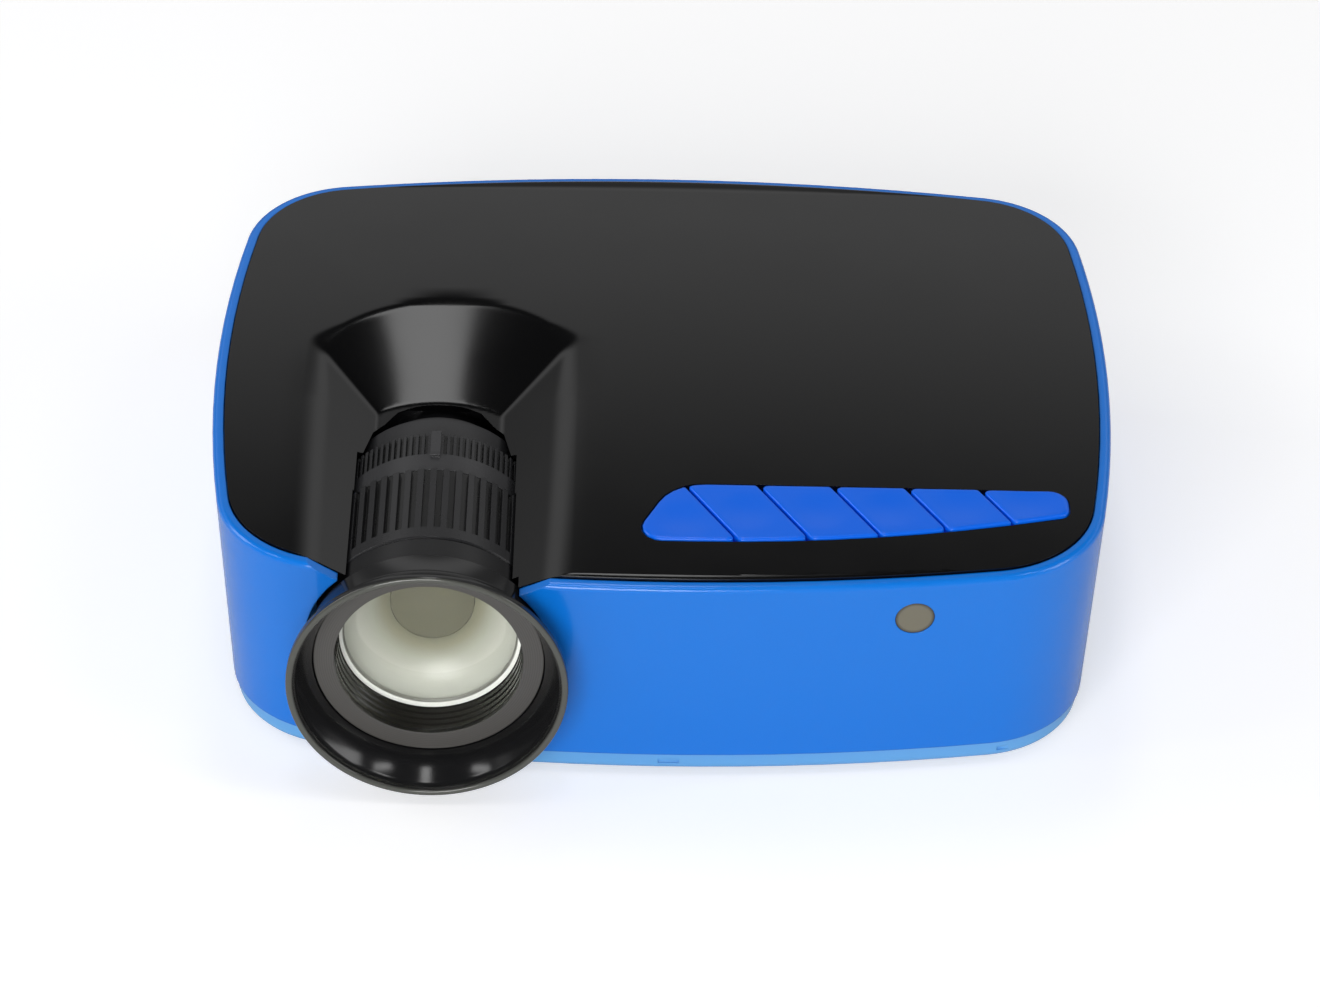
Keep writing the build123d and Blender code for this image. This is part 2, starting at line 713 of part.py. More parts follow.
with BuildPart() as lens_tube:
    with BuildSketch(lens_section):
        with BuildLine():
            Polyline((tube_front_y, tube_bore), (tube_front_y, tube_radius),
                     (shoulder_y, tube_radius), (shoulder_y, collar_radius),
                     (collar_back_y, collar_radius), (collar_back_y, neck_radius),
                     (engine_y, neck_radius), (engine_y, neck_bore),
                     (collar_back_y - web, neck_bore), (collar_back_y - web, collar_bore),
                     (shoulder_y - web, collar_bore), (shoulder_y - web, tube_bore), close=True)
        make_face()
    revolve(axis=lens_axis)
    chamfer(lens_tube.edges().filter_by(GeomType.CIRCLE).filter_by(
        lambda e: abs(e.radius - collar_radius) < 0.01).sort_by(Axis.Y)[-1], 0.5)
    with BuildSketch(across_lens(engine_y)):
        with Locations((0, (flange_above - flange_below) / 2)):
            RectangleRounded(2 * flange_half_width, flange_above + flange_below, 4)
        Circle(neck_radius - 0.5, mode=Mode.SUBTRACT)
        with Locations((0, -rod_drop)):
            Circle(rod_radius + running_gap, mode=Mode.SUBTRACT)
        with Locations((-17, 10), (17, 10), (-17, -19.5), (17, -19.5)):
            Circle(screw_radius + running_gap, mode=Mode.SUBTRACT)
    extrude(amount=flange_thickness)
lens_tube.part.label = "lens_tube"
export_step(lens_tube.part, "parts/lens_tube.step")

# Focus ring: coarse ribs with a plain band in front, turning on the tube
focus_ribs = 56
focus_rib_depth = 0.9
focus_band = 3.7
focus_base_radius = barrel_radius - focus_rib_depth
focus_rib_width = 0.5 * 2 * pi * barrel_radius / focus_ribs
with BuildPart() as focus_ring:
    with BuildSketch(across_lens(focus_back_y - 0.6)):
        Circle(focus_base_radius)
        with PolarLocations(focus_base_radius - 0.5, focus_ribs):
            Rectangle(focus_rib_depth + 0.5, focus_rib_width, align=(Align.MIN, Align.CENTER))
    extrude(amount=focus_length - 0.6 - focus_band / 2)
    with BuildSketch(across_lens(focus_back_y)):
        Circle(focus_base_radius)
    extrude(amount=0.6)
    with BuildSketch(across_lens(focus_front_y + focus_band)):
        Circle(barrel_radius)
    extrude(amount=focus_band)
    chamfer(focus_ring.edges().group_by(Axis.Y)[0], 0.4)
    with BuildSketch(across_lens(focus_back_y + 1)):
        Circle(tube_radius + running_gap)
    extrude(amount=focus_length + 2, mode=Mode.SUBTRACT)
focus_ring.part.label = "focus_ring"
export_step(focus_ring.part, "parts/focus_ring.step")

# Keystone ring: fine ribs behind a plain band, a raised pointer, and a slanting cam face inside
# its rear end that moves the rod as the ring turns
keystone_ribs = 108
keystone_rib_depth = 0.6
keystone_rib_length = 7.4
keystone_base_radius = keystone_radius - keystone_rib_depth
keystone_rib_width = 0.5 * 2 * pi * keystone_radius / keystone_ribs
pointer_width = 2.2
pointer_stand = 0.7
pointer_length = 8.6
cam_skin = 1.2
cam_y = keystone_back_y - 4.8
cam_rise = rod_travel / (rod_drop * sin(radians(keystone_angle)))
with BuildPart() as cam_space:
    with BuildSketch(across_lens(keystone_back_y + 1)):
        Circle(keystone_radius - keystone_rib_depth - cam_skin)
    extrude(amount=keystone_length)
    split(bisect_by=Plane(origin=(lens_x, cam_y, lens_z), x_dir=(1, cam_rise, 0),
                          z_dir=(-cam_rise, 1, 0)), keep=Keep.TOP)
with BuildPart() as keystone_ring:
    with BuildSketch(across_lens(keystone_back_y)):
        Circle(keystone_base_radius)
        with PolarLocations(keystone_base_radius - 0.5, keystone_ribs):
            Rectangle(keystone_rib_depth + 0.5, keystone_rib_width, align=(Align.MIN, Align.CENTER))
    extrude(amount=keystone_rib_length)
    with BuildSketch(across_lens(keystone_front_y + keystone_length - keystone_rib_length)):
        Circle(keystone_radius)
    extrude(amount=keystone_length - keystone_rib_length)
    with BuildSketch(across_lens(keystone_back_y)):
        with Locations((0, keystone_base_radius - 1)):
            Rectangle(pointer_width, 1 + keystone_rib_depth + pointer_stand,
                      align=(Align.CENTER, Align.MIN))
    extrude(amount=pointer_length)
    with BuildSketch(across_lens(shoulder_y + 0.1)):
        Circle(tube_radius + running_gap)
    extrude(amount=keystone_length, mode=Mode.SUBTRACT)
    with BuildSketch(across_lens(keystone_back_y + 1)):
        Circle(collar_radius + running_gap)
    extrude(amount=keystone_length, mode=Mode.SUBTRACT)
    add(cam_space.part, mode=Mode.SUBTRACT)
keystone_ring.part.label = "keystone_ring"
export_step(keystone_ring.part, "parts/keystone_ring.step")

# Front barrel: a smooth ring with a flat front face, and a sleeve that slides in the tube
glass_radius = 20.8
glass_front_edge = barrel_face_y + 8.5
glass_edge = 1.8
glass_back_y = glass_front_edge + glass_edge
sleeve_length = 23.0
sleeve_bore = 18.6
face_bore = 20.4
with BuildPart() as front_barrel:
    with BuildSketch(lens_section):
        with BuildLine():
            Polyline((barrel_face_y, face_bore), (barrel_face_y, barrel_radius),
                     (seam_y, barrel_radius), (seam_y, tube_bore - running_gap),
                     (seam_y + sleeve_length, tube_bore - running_gap),
                     (seam_y + sleeve_length, sleeve_bore), (glass_back_y, sleeve_bore),
                     (glass_back_y, glass_radius + 0.05), (barrel_face_y + 1.2, glass_radius + 0.05),
                     (barrel_face_y + 1.2, face_bore), close=True)
        make_face()
    revolve(axis=lens_axis)
    outer_edges = front_barrel.edges().filter_by(GeomType.CIRCLE)
    chamfer(outer_edges.filter_by(lambda e: abs(e.radius - barrel_radius) < 0.01), 0.3)
front_barrel.part.label = "front_barrel"
export_step(front_barrel.part, "parts/front_barrel.step")

# Hood: a flared shroud fixed on the barrel, with a rounded lip, a short flange, a cone that
# narrows backwards and a skirt round the barrel
hood_wall = 1.2
cone_back_y = hood_y + hood_flare_length
skirt_back_y = cone_back_y + hood_skirt_length
lip_y = hood_y + hood_rim_length
with BuildPart() as lens_hood:
    with BuildSketch(lens_section):
        with BuildLine():
            Polyline((hood_y, hood_radius - hood_lip), (hood_y, hood_radius - 0.6),
                     (hood_y + 0.6, hood_radius), (lip_y, hood_radius),
                     (lip_y + 0.5, hood_radius - 0.9), (cone_back_y, hood_skirt_radius),
                     (skirt_back_y, hood_skirt_radius), (skirt_back_y, barrel_radius + 0.05),
                     (barrel_face_y, barrel_radius + 0.05), (barrel_face_y - 0.4, barrel_radius),
                     (lip_y, hood_radius - hood_lip - hood_wall / 2), close=True)
        make_face()
    revolve(axis=lens_axis)
lens_hood.part.label = "lens_hood"
export_step(lens_hood.part, "parts/lens_hood.step")

# Retainer: a ring with baffle steps that holds the front glass back against its seat
baffle_steps = 4
baffle_front_y = barrel_face_y + 1.2
baffle_pitch = (glass_front_edge - 0.5 - baffle_front_y) / baffle_steps
baffle_radius = 20.3
baffle_taper = 0.15
baffle_groove = 0.3
baffle_back_y = glass_front_edge - 0.45
retainer_points = [(baffle_back_y, glass_radius), (baffle_front_y, glass_radius)]
for step in range(baffle_steps):
    tooth_y = baffle_front_y + baffle_pitch * step
    tooth_radius = baffle_radius - baffle_taper * step
    retainer_points.append((tooth_y, tooth_radius))
    retainer_points.append((tooth_y + 0.7 * baffle_pitch, tooth_radius))
    retainer_points.append((tooth_y + 0.7 * baffle_pitch, tooth_radius + baffle_groove))
retainer_points.append((baffle_back_y, baffle_radius - baffle_taper * baffle_steps))
with BuildPart() as lens_retainer:
    with BuildSketch(lens_section):
        with BuildLine():
            Polyline(*retainer_points, close=True)
        make_face()
    revolve(axis=lens_axis)
lens_retainer.part.label = "lens_retainer"
export_step(lens_retainer.part, "parts/lens_retainer.step")


def dome_y(apex, radius, bulge, backwards):
    """Where a lens face lies half way out from the axis, on the sphere through apex and edge."""
    ball = (radius ** 2 + bulge ** 2) / (2 * bulge)
    sag = ball - (ball ** 2 - radius ** 2 / 4) ** 0.5
    return apex - sag if backwards else apex + sag


# The four lenses: front glass in the barrel, two in the tube, and a condenser in the light box.
# Each has its front edge, edge thickness, radius, and the bulge of its front and back faces.
middle_lens_y = shoulder_y + 3.0
rear_lens_y = collar_back_y + 0.4
condenser_y = engine_y + 26.0
condenser_edge = 3.0
condenser_radius = 17.0
lenses = {
    "front_lens": (glass_front_edge, glass_edge, glass_radius, 3.6, 0),
    "middle_lens": (middle_lens_y, 3.0, collar_bore - 0.05, 2.4, 1.2),
    "rear_lens": (rear_lens_y, 2.4, neck_bore - 0.05, 1.2, 1.8),
    "condenser_lens": (condenser_y, condenser_edge, condenser_radius, 0, 4.0),
}
for lens_name, (front, edge, radius, front_bulge, back_bulge) in lenses.items():
    height = light_z if lens_name == "condenser_lens" else lens_z
    apex = front - front_bulge
    back_apex = front + edge + back_bulge
    with BuildPart() as lens:
        with BuildSketch(Plane(origin=(lens_x, 0, height), x_dir=(0, 1, 0), z_dir=(1, 0, 0))):
            with BuildLine():
                Line((apex, 0), (back_apex, 0))
                if back_bulge:
                    ThreePointArc((back_apex, 0), (dome_y(back_apex, radius, back_bulge, True),
                                                   radius / 2), (front + edge, radius))
                else:
                    Line((back_apex, 0), (front + edge, radius))
                Line((front + edge, radius), (front, radius))
                if front_bulge:
                    ThreePointArc((front, radius), (dome_y(apex, radius, front_bulge, False),
                                                    radius / 2), (apex, 0))
                else:
                    Line((front, radius), (apex, 0))
            make_face()
        revolve(axis=Axis((lens_x, 0, height), (0, 1, 0)))
    lens.part.label = lens_name
    export_step(lens.part, f"parts/{lens_name}.step")

# Push rod: a round rod with domed ends that runs under the tube from the cam to the carrier
pivot_z = engine_top_z - lid_thickness - 2.4
carrier_y = engine_y + 13.0
carrier_thickness = 2.4
rod_z = lens_z - rod_drop
rod_front_y = cam_y + seat_gap
rod_back_y = carrier_y - carrier_thickness / 2 - seat_gap
with BuildPart() as keystone_rod:
    with Locations((lens_x, rod_front_y + rod_radius, rod_z)):
        Cylinder(rod_radius, rod_back_y - rod_front_y - 2 * rod_radius, rotation=(-90, 0, 0),
                 align=(Align.CENTER, Align.CENTER, Align.MIN))
    with Locations((lens_x, rod_front_y + rod_radius, rod_z), (lens_x, rod_back_y - rod_radius, rod_z)):
        Sphere(rod_radius)
keystone_rod.part.label = "keystone_rod"
export_step(keystone_rod.part, "parts/keystone_rod.step")

# Light box: floor, walls, plate ribs inside, openings for the tube, the light and the air
engine_back_y = engine_y + engine_length
engine_wall_top = engine_top_z - lid_thickness
engine_middle_y = (engine_y + engine_back_y) / 2
inner_width = engine_width - 2 * engine_wall
led_side = 30.0
rib_width = 1.2
rib_height = 34.0
pivot_radius = 1.5
pivot_reach = inner_width / 2 + 1.2
# each plate: distance behind the light box's front, and thickness
plates = {"front_fresnel": (5.0, 1.6), "rear_fresnel": (19.0, 1.6), "heat_glass": (23.0, 1.1)}
plate_slack = 0.1
with BuildPart() as engine_case:
    with Locations((lens_x, engine_middle_y, engine_base_z)):
        Box(engine_width, engine_length, engine_wall_top - engine_base_z,
            align=(Align.CENTER, Align.CENTER, Align.MIN))
    with Locations((lens_x, engine_middle_y, engine_base_z + engine_wall)):
        Box(inner_width, engine_length - 2 * engine_wall, engine_wall_top,
            align=(Align.CENTER, Align.CENTER, Align.MIN), mode=Mode.SUBTRACT)
    for plate_back, plate_thickness in plates.values():
        for rib_y in (engine_y + plate_back - plate_slack - rib_width,
                      engine_y + plate_back + plate_thickness + plate_slack):
            with Locations((lens_x - inner_width / 2, rib_y, engine_base_z + engine_wall),
                           (lens_x + inner_width / 2 - rib_width, rib_y, engine_base_z + engine_wall)):
                Box(rib_width, rib_width, rib_height, align=(Align.MIN, Align.MIN, Align.MIN))
    with Locations((lens_x, condenser_y + plate_slack, engine_base_z)):
        Box(engine_width - engine_wall, condenser_edge - 2 * plate_slack, engine_wall + rib_height,
            align=(Align.CENTER, Align.MIN, Align.MIN))
    with BuildSketch(Plane(origin=(lens_x, condenser_y - 1, light_z), x_dir=(1, 0, 0), z_dir=(0, 1, 0))):
        Circle(condenser_radius + plate_slack)
    extrude(amount=condenser_edge + 2, mode=Mode.SUBTRACT)
    with BuildSketch(across_lens(engine_y + engine_wall + 1)):
        Circle(neck_bore)
    extrude(amount=engine_wall + 2, mode=Mode.SUBTRACT)
    with BuildSketch(across_lens(engine_y + engine_wall + 1)):
        with Locations((0, -rod_drop)):
            Circle(rod_radius + seat_gap)
        with Locations((-17, 10), (17, 10), (-17, -19.5), (17, -19.5)):
            Circle(screw_radius)
    extrude(amount=engine_wall + 2, mode=Mode.SUBTRACT)
    with Locations((lens_x, engine_back_y, light_z)):
        Box(led_side + 1, 3 * engine_wall, led_side + 1, mode=Mode.SUBTRACT)
    with Locations((lens_x, carrier_y, pivot_z)):
        Cylinder(pivot_radius + running_gap, 2 * pivot_reach + 0.6, rotation=(0, 90, 0),
                 mode=Mode.SUBTRACT)
    with BuildSketch(Plane.XY.offset(engine_base_z)):
        with Locations(engine_pads):
            Circle(screw_radius + running_gap)
    extrude(amount=engine_wall, mode=Mode.SUBTRACT)
    for side in (-1, 1):
        with Locations((lens_x + side * engine_width / 2, engine_middle_y - 6, engine_base_z + 9)):
            with GridLocations(0, 5, 1, 3):
                Box(3 * engine_wall, 2.4, 8, mode=Mode.SUBTRACT)
    with Locations((lens_x, engine_middle_y, engine_wall_top - 4)):
        with GridLocations(engine_width - 7, engine_length - 7, 2, 2):
            Box(7, 7, 8, mode=Mode.ADD)
            Cylinder(1.0, 10, mode=Mode.SUBTRACT)
engine_case.part.label = "engine_case"
export_step(engine_case.part, "parts/engine_case.step")

with BuildPart() as engine_lid:
    with Locations((lens_x, engine_middle_y, engine_wall_top)):
        Box(engine_width, engine_length, lid_thickness, align=(Align.CENTER, Align.CENTER, Align.MIN))
        with GridLocations(engine_width - 7, engine_length - 7, 2, 2):
            Cylinder(1.1, 10, mode=Mode.SUBTRACT)
        with GridLocations(9, 0, 4, 1):
            Box(4, 18, 10, mode=Mode.SUBTRACT)
engine_lid.part.label = "engine_lid"
export_step(engine_lid.part, "parts/engine_lid.step")

# The flat plates across the light box; the front one lets the push rod through
plate_bottom_z = engine_base_z + engine_wall
plate_height = 34.0
front_plate_height = 29.5
for plate_name, (plate_back, plate_thickness) in plates.items():
    height = front_plate_height if plate_name == "front_fresnel" else plate_height
    with BuildPart() as plate:
        with Locations((lens_x, engine_y + plate_back, plate_bottom_z)):
            Box(inner_width - 2 * plate_slack, plate_thickness, height,
                align=(Align.CENTER, Align.MIN, Align.MIN))
        if plate_name == "front_fresnel":
            with Locations((lens_x, engine_y + plate_back, rod_z)):
                Cylinder(rod_radius + 1, 10, rotation=(90, 0, 0), mode=Mode.SUBTRACT)
    plate.part.label = plate_name
    export_step(plate.part, f"parts/{plate_name}.step")

# Panel carrier: a frame on two pivot pins, with a shallow seat for the panel and a pad where
# the push rod meets it
carrier_width = 50.0
carrier_bottom_z = 11.0
window_width = 40.0
window_height = 24.0
panel_width = 44.0
panel_height = 28.0
panel_thickness = 1.2
carrier_window_z = light_z + 2.5
with BuildPart() as panel_carrier:
    with Locations((lens_x, carrier_y, carrier_bottom_z)):
        Box(carrier_width, carrier_thickness, pivot_z + 1.5 - carrier_bottom_z,
            align=(Align.CENTER, Align.CENTER, Align.MIN))
    with Locations((lens_x, carrier_y, carrier_window_z)):
        Box(window_width, 10, window_height, mode=Mode.SUBTRACT)
    with Locations((lens_x, carrier_y + carrier_thickness / 2, carrier_window_z)):
        Box(panel_width + 2 * plate_slack, 2 * panel_thickness, panel_height + 2 * plate_slack,
            mode=Mode.SUBTRACT)
    pin_length = pivot_reach - carrier_width / 2 + 1
    with Locations((lens_x - pivot_reach + pin_length / 2, carrier_y, pivot_z),
                   (lens_x + pivot_reach - pin_length / 2, carrier_y, pivot_z)):
        Cylinder(pivot_radius, pin_length, rotation=(0, 90, 0))
panel_carrier.part.label = "panel_carrier"
export_step(panel_carrier.part, "parts/panel_carrier.step")

with BuildPart() as lcd_panel:
    with Locations((lens_x, carrier_y + carrier_thickness / 2 - panel_thickness, carrier_window_z)):
        Box(panel_width, panel_thickness, panel_height, align=(Align.CENTER, Align.MIN, Align.CENTER))
lcd_panel.part.label = "lcd_panel"
export_step(lcd_panel.part, "parts/lcd_panel.step")

# Light cone: a hollow square funnel from the lamp board to the condenser
cone_front_y = condenser_y + condenser_edge + 0.2
cone_front_side = 36.6
cone_back_side = 15.0
cone_wall = 1.2
cone_back = engine_back_y - 3.4
with BuildPart() as light_cone:
    for shrink, cone_mode in ((0, Mode.ADD), (cone_wall, Mode.SUBTRACT)):
        with BuildSketch(Plane(origin=(lens_x, cone_front_y, light_z), x_dir=(1, 0, 0), z_dir=(0, 1, 0))):
            Rectangle(cone_front_side - 2 * shrink, cone_front_side - 2 * shrink)
        with BuildSketch(Plane(origin=(lens_x, cone_back, light_z), x_dir=(1, 0, 0), z_dir=(0, 1, 0))):
            Rectangle(cone_back_side - 2 * shrink, cone_back_side - 2 * shrink)
        loft(ruled=True, mode=cone_mode)
light_cone.part.label = "light_cone"
export_step(light_cone.part, "parts/light_cone.step")

# Lamp board on the heat sink, with its light source
with BuildPart() as led_module:
    with Locations((lens_x, sink_y, light_z)):
        Box(led_side, board_thickness, led_side, align=(Align.CENTER, Align.MAX, Align.CENTER))
    with Locations((lens_x, sink_y - board_thickness, light_z)):
        Box(10, 1.2, 10, align=(Align.CENTER, Align.MAX, Align.CENTER))
led_module.part.label = "led_module"
export_step(led_module.part, "parts/led_module.step")

# Heat sink: a base plate and upright fins
sink_width = 46.0
sink_height = 41.0
fin_count = 12
with BuildPart() as heat_sink:
    with Locations((lens_x, sink_y, light_z)):
        Box(sink_width, sink_base, sink_height, align=(Align.CENTER, Align.MIN, Align.CENTER))
    with Locations((lens_x, sink_y + sink_base, light_z)):
        with GridLocations((sink_width - 1) / (fin_count - 1), 0, fin_count, 1):
            Box(1.0, fin_length, sink_height, align=(Align.CENTER, Align.MIN, Align.CENTER))
heat_sink.part.label = "heat_sink"
export_step(heat_sink.part, "parts/heat_sink.step")

# Fan: square frame with a round duct and a hub on four struts; the rotor turns in it
duct_radius = 18.6
hub_radius = 9.5
strut = 1.5
axle_radius = 1.5
blade_count = 7
blade_angle = 38.0
blade_root = hub_radius - 1.5
fan_screw_head = 2.7
with BuildPart() as fan_frame:
    with Locations((lens_x, fan_y, fan_z)):
        Box(fan_size, fan_depth, fan_size, align=(Align.CENTER, Align.MIN, Align.CENTER))
    with Locations((lens_x, fan_y, fan_z)):
        Cylinder(duct_radius, 3 * fan_depth, rotation=(90, 0, 0), mode=Mode.SUBTRACT)
    with BuildSketch(Plane(origin=(lens_x, fan_back_y, fan_z), x_dir=(1, 0, 0), z_dir=(0, -1, 0))):
        Circle(hub_radius)
        Rectangle(2 * duct_radius + 1, 2.4)
        Rectangle(2.4, 2 * duct_radius + 1)
    extrude(amount=strut)
    with BuildSketch(Plane(origin=(lens_x, fan_back_y, fan_z), x_dir=(1, 0, 0), z_dir=(0, -1, 0))):
        Circle(axle_radius + running_gap)
        with GridLocations(fan_hole_pitch, fan_hole_pitch, 2, 2):
            Circle(screw_radius + running_gap)
    extrude(amount=2 * fan_depth, mode=Mode.SUBTRACT)
    with BuildSketch(Plane(origin=(lens_x, fan_y, fan_z), x_dir=(1, 0, 0), z_dir=(0, 1, 0))):
        with GridLocations(fan_hole_pitch, fan_hole_pitch, 2, 2):
            Circle(fan_screw_head + 0.2)
    extrude(amount=2.2, mode=Mode.SUBTRACT)
fan_frame.part.label = "fan_frame"
export_step(fan_frame.part, "parts/fan_frame.step")

rotor_back_y = fan_back_y - strut - seat_gap
rotor_front_y = fan_y + 0.6
with BuildPart() as fan_rotor:
    with BuildSketch(Plane(origin=(lens_x, rotor_back_y, fan_z), x_dir=(1, 0, 0), z_dir=(0, -1, 0))):
        Circle(hub_radius)
    extrude(amount=rotor_back_y - rotor_front_y)
    with BuildSketch(Plane(origin=(lens_x, fan_back_y - 0.2, fan_z), x_dir=(1, 0, 0), z_dir=(0, -1, 0))):
        Circle(axle_radius)
    extrude(amount=strut + seat_gap)
    for blade in range(blade_count):
        turn = 2 * pi * blade / blade_count
        outward = (cos(turn), 0, sin(turn))
        with BuildSketch(Plane(origin=(lens_x + blade_root * cos(turn), (rotor_back_y + rotor_front_y) / 2,
                                       fan_z + blade_root * sin(turn)), x_dir=(0, 1, 0), z_dir=outward)):
            Rectangle(8.2, 1.0, rotation=blade_angle)
        extrude(amount=duct_radius - 0.8 - blade_root)
fan_rotor.part.label = "fan_rotor"
export_step(fan_rotor.part, "parts/fan_rotor.step")


def board_part(span_x, span_y, z, corners):
    """A plain circuit board with four screw holes."""
    with BuildPart() as board:
        with BuildSketch(Plane.XY.offset(z)):
            with Locations(((span_x[0] + span_x[1]) / 2, (span_y[0] + span_y[1]) / 2)):
                Rectangle(span_x[1] - span_x[0], span_y[1] - span_y[0])
            with Locations(corners):
                Circle(1.1, mode=Mode.SUBTRACT)
        extrude(amount=board_thickness)
    return board.part


# Main board with its chips, and the cooler on the largest one
main_top = main_board_z + board_thickness
with BuildPart() as main_board:
    add(board_part(main_board_x, main_board_y, main_board_z, main_corners))
    for chip_x, chip_y, chip_width, chip_depth, chip_height in (
            (0, 44, 18, 18, 1.4), (24, 46, 12, 9, 1.2), (24, 34, 8, 12, 1.2), (-4, 27, 10, 6, 2.0)):
        with Locations((chip_x, chip_y, main_top)):
            Box(chip_width, chip_depth, chip_height, align=(Align.CENTER, Align.CENTER, Align.MIN))
main_board.part.label = "main_board"
export_step(main_board.part, "parts/main_board.step")

with BuildPart() as processor_cooler:
    with Locations((0, 44, main_top + 1.4)):
        Box(22, 22, 2, align=(Align.CENTER, Align.CENTER, Align.MIN))
    with Locations((0, 44, main_top + 3.4)):
        with GridLocations(3, 0, 8, 1):
            Box(0.9, 22, 7, align=(Align.CENTER, Align.CENTER, Align.MIN))
processor_cooler.part.label = "processor_cooler"
export_step(processor_cooler.part, "parts/processor_cooler.step")

# Connectors on the main board, open to the back
port_length = 16.0
for port_name, (port_x, port_width, port_height) in ports.items():
    port_mid_z = main_top + port_height / 2
    port_back_y = back_wall_y(abs(port_x) + port_width / 2, port_mid_z) - port_recess
    with BuildPart() as port:
        with Locations((port_x, port_back_y, main_top)):
            Box(port_width, port_length, port_height, align=(Align.CENTER, Align.MAX, Align.MIN))
        if port_name == "audio_jack":
            with Locations((port_x, port_back_y, port_mid_z)):
                Cylinder(1.8, 24, rotation=(90, 0, 0), mode=Mode.SUBTRACT)
        elif port_name == "data_ports":
            for level in (0.27, 0.73):
                with Locations((port_x, port_back_y, main_top + level * port_height)):
                    Box(12.4, 22, 5.0, mode=Mode.SUBTRACT)
                    with Locations((0, -port_length + 8, 1.0)):
                        Box(11.0, 14, 1.8)
        else:
            with Locations((port_x, port_back_y, port_mid_z)):
                Box(port_width - 1.4, 22, port_height - 1.4, mode=Mode.SUBTRACT)
                with Locations((0, -port_length + 8, 0)):
                    Box(port_width - 1.4, 14, 1.2)
    port.part.label = port_name
    export_step(port.part, f"parts/{port_name}.step")

# Power board, its transformer, its capacitors and the two-pin mains inlet at the back
power_top = power_board_z + board_thickness
with BuildPart() as power_board:
    add(board_part(power_board_x, power_board_y, power_board_z, power_corners))
    for block_x, block_y, block_width, block_depth, block_height in (
            (56, 46, 8, 10, 12), (68, 44, 6, 13, 9), (56, -1, 8, 6, 8)):
        with Locations((block_x, block_y, power_top)):
            Box(block_width, block_depth, block_height, align=(Align.CENTER, Align.CENTER, Align.MIN))
power_board.part.label = "power_board"
export_step(power_board.part, "parts/power_board.step")

with BuildPart() as power_transformer:
    with Locations((61, 24, power_top)):
        Box(20, 22, 3, align=(Align.CENTER, Align.CENTER, Align.MIN))
    with Locations((61, 24, power_top + 3)):
        Box(24, 8, 16, align=(Align.CENTER, Align.CENTER, Align.MIN))
        Cylinder(9.5, 16, align=(Align.CENTER, Align.CENTER, Align.MIN))
power_transformer.part.label = "power_transformer"
export_step(power_transformer.part, "parts/power_transformer.step")

with BuildPart() as power_capacitors:
    with BuildSketch(Plane.XY.offset(power_top)):
        with Locations((54, 8), (69, 6)):
            Circle(5.0)
    extrude(amount=21)
    chamfer(power_capacitors.edges().group_by(Axis.Z)[-1], 0.6)
power_capacitors.part.label = "power_capacitors"
export_step(power_capacitors.part, "parts/power_capacitors.step")

inlet_back_y = back_wall_y(inlet_x + inlet_width / 2, power_top) - port_recess
inlet_mid_z = power_top + inlet_height / 2
inlet_length = 18.0
inlet_pin_radius = 1.2
inlet_pin_pitch = 8.6
with BuildPart() as mains_inlet:
    with BuildSketch(Plane(origin=(inlet_x, inlet_back_y, inlet_mid_z), x_dir=(1, 0, 0), z_dir=(0, -1, 0))):
        RectangleRounded(inlet_width, inlet_height, 1.5)
    extrude(amount=inlet_length)
    with BuildSketch(Plane(origin=(inlet_x, inlet_back_y, inlet_mid_z), x_dir=(1, 0, 0), z_dir=(0, -1, 0))):
        with Locations((-4.3, 0), (4.3, 0)):
            Circle(4.2)
        Rectangle(8.6, 5.6)
    extrude(amount=inlet_length - 3, mode=Mode.SUBTRACT)
    with BuildSketch(Plane(origin=(inlet_x, inlet_back_y - 3, inlet_mid_z), x_dir=(1, 0, 0),
                           z_dir=(0, -1, 0))):
        with GridLocations(inlet_pin_pitch, 0, 2, 1):
            Circle(inlet_pin_radius)
    extrude(amount=inlet_length - 4)
mains_inlet.part.label = "mains_inlet"
export_step(mains_inlet.part, "parts/mains_inlet.step")

# Speaker: frame, basket and magnet, facing down on its ring
with BuildPart() as speaker:
    with BuildSketch(Plane(origin=(speaker_x, 0, floor_z + 1), x_dir=(1, 0, 0), z_dir=(0, -1, 0))):
        with BuildLine():
            Polyline((0, 1.0), (4, 1.0), (12, 0), (14, 0), (14, 1.2), (12.4, 1.2), (8, 4.5), (8, 8.5),
                     (0, 8.5), close=True)
        make_face()
    revolve(axis=Axis((speaker_x, 0, 0), (0, 0, 1)))
speaker.part.location = Location((0, speaker_y, 0))
speaker.part.label = "speaker"
export_step(speaker.part, "parts/speaker.step")

# Small fittings: tripod thread, feet and screws
with BuildPart() as tripod_insert:
    with BuildSketch(Plane.XY.offset(base_z)):
        with Locations((tripod_x, tripod_y)):
            Circle(insert_radius)
            Circle(tripod_thread_radius, mode=Mode.SUBTRACT)
    extrude(amount=insert_length)
tripod_insert.part.label = "tripod_insert"
export_step(tripod_insert.part, "parts/tripod_insert.step")

with BuildPart() as rubber_feet:
    with BuildSketch(Plane.XY):
        with Locations(foot_places):
            Circle(foot_radius)
    extrude(amount=foot_height + foot_recess)
    chamfer(rubber_feet.edges().group_by(Axis.Z)[0], 0.5)
rubber_feet.part.label = "rubber_feet"
export_step(rubber_feet.part, "parts/rubber_feet.step")


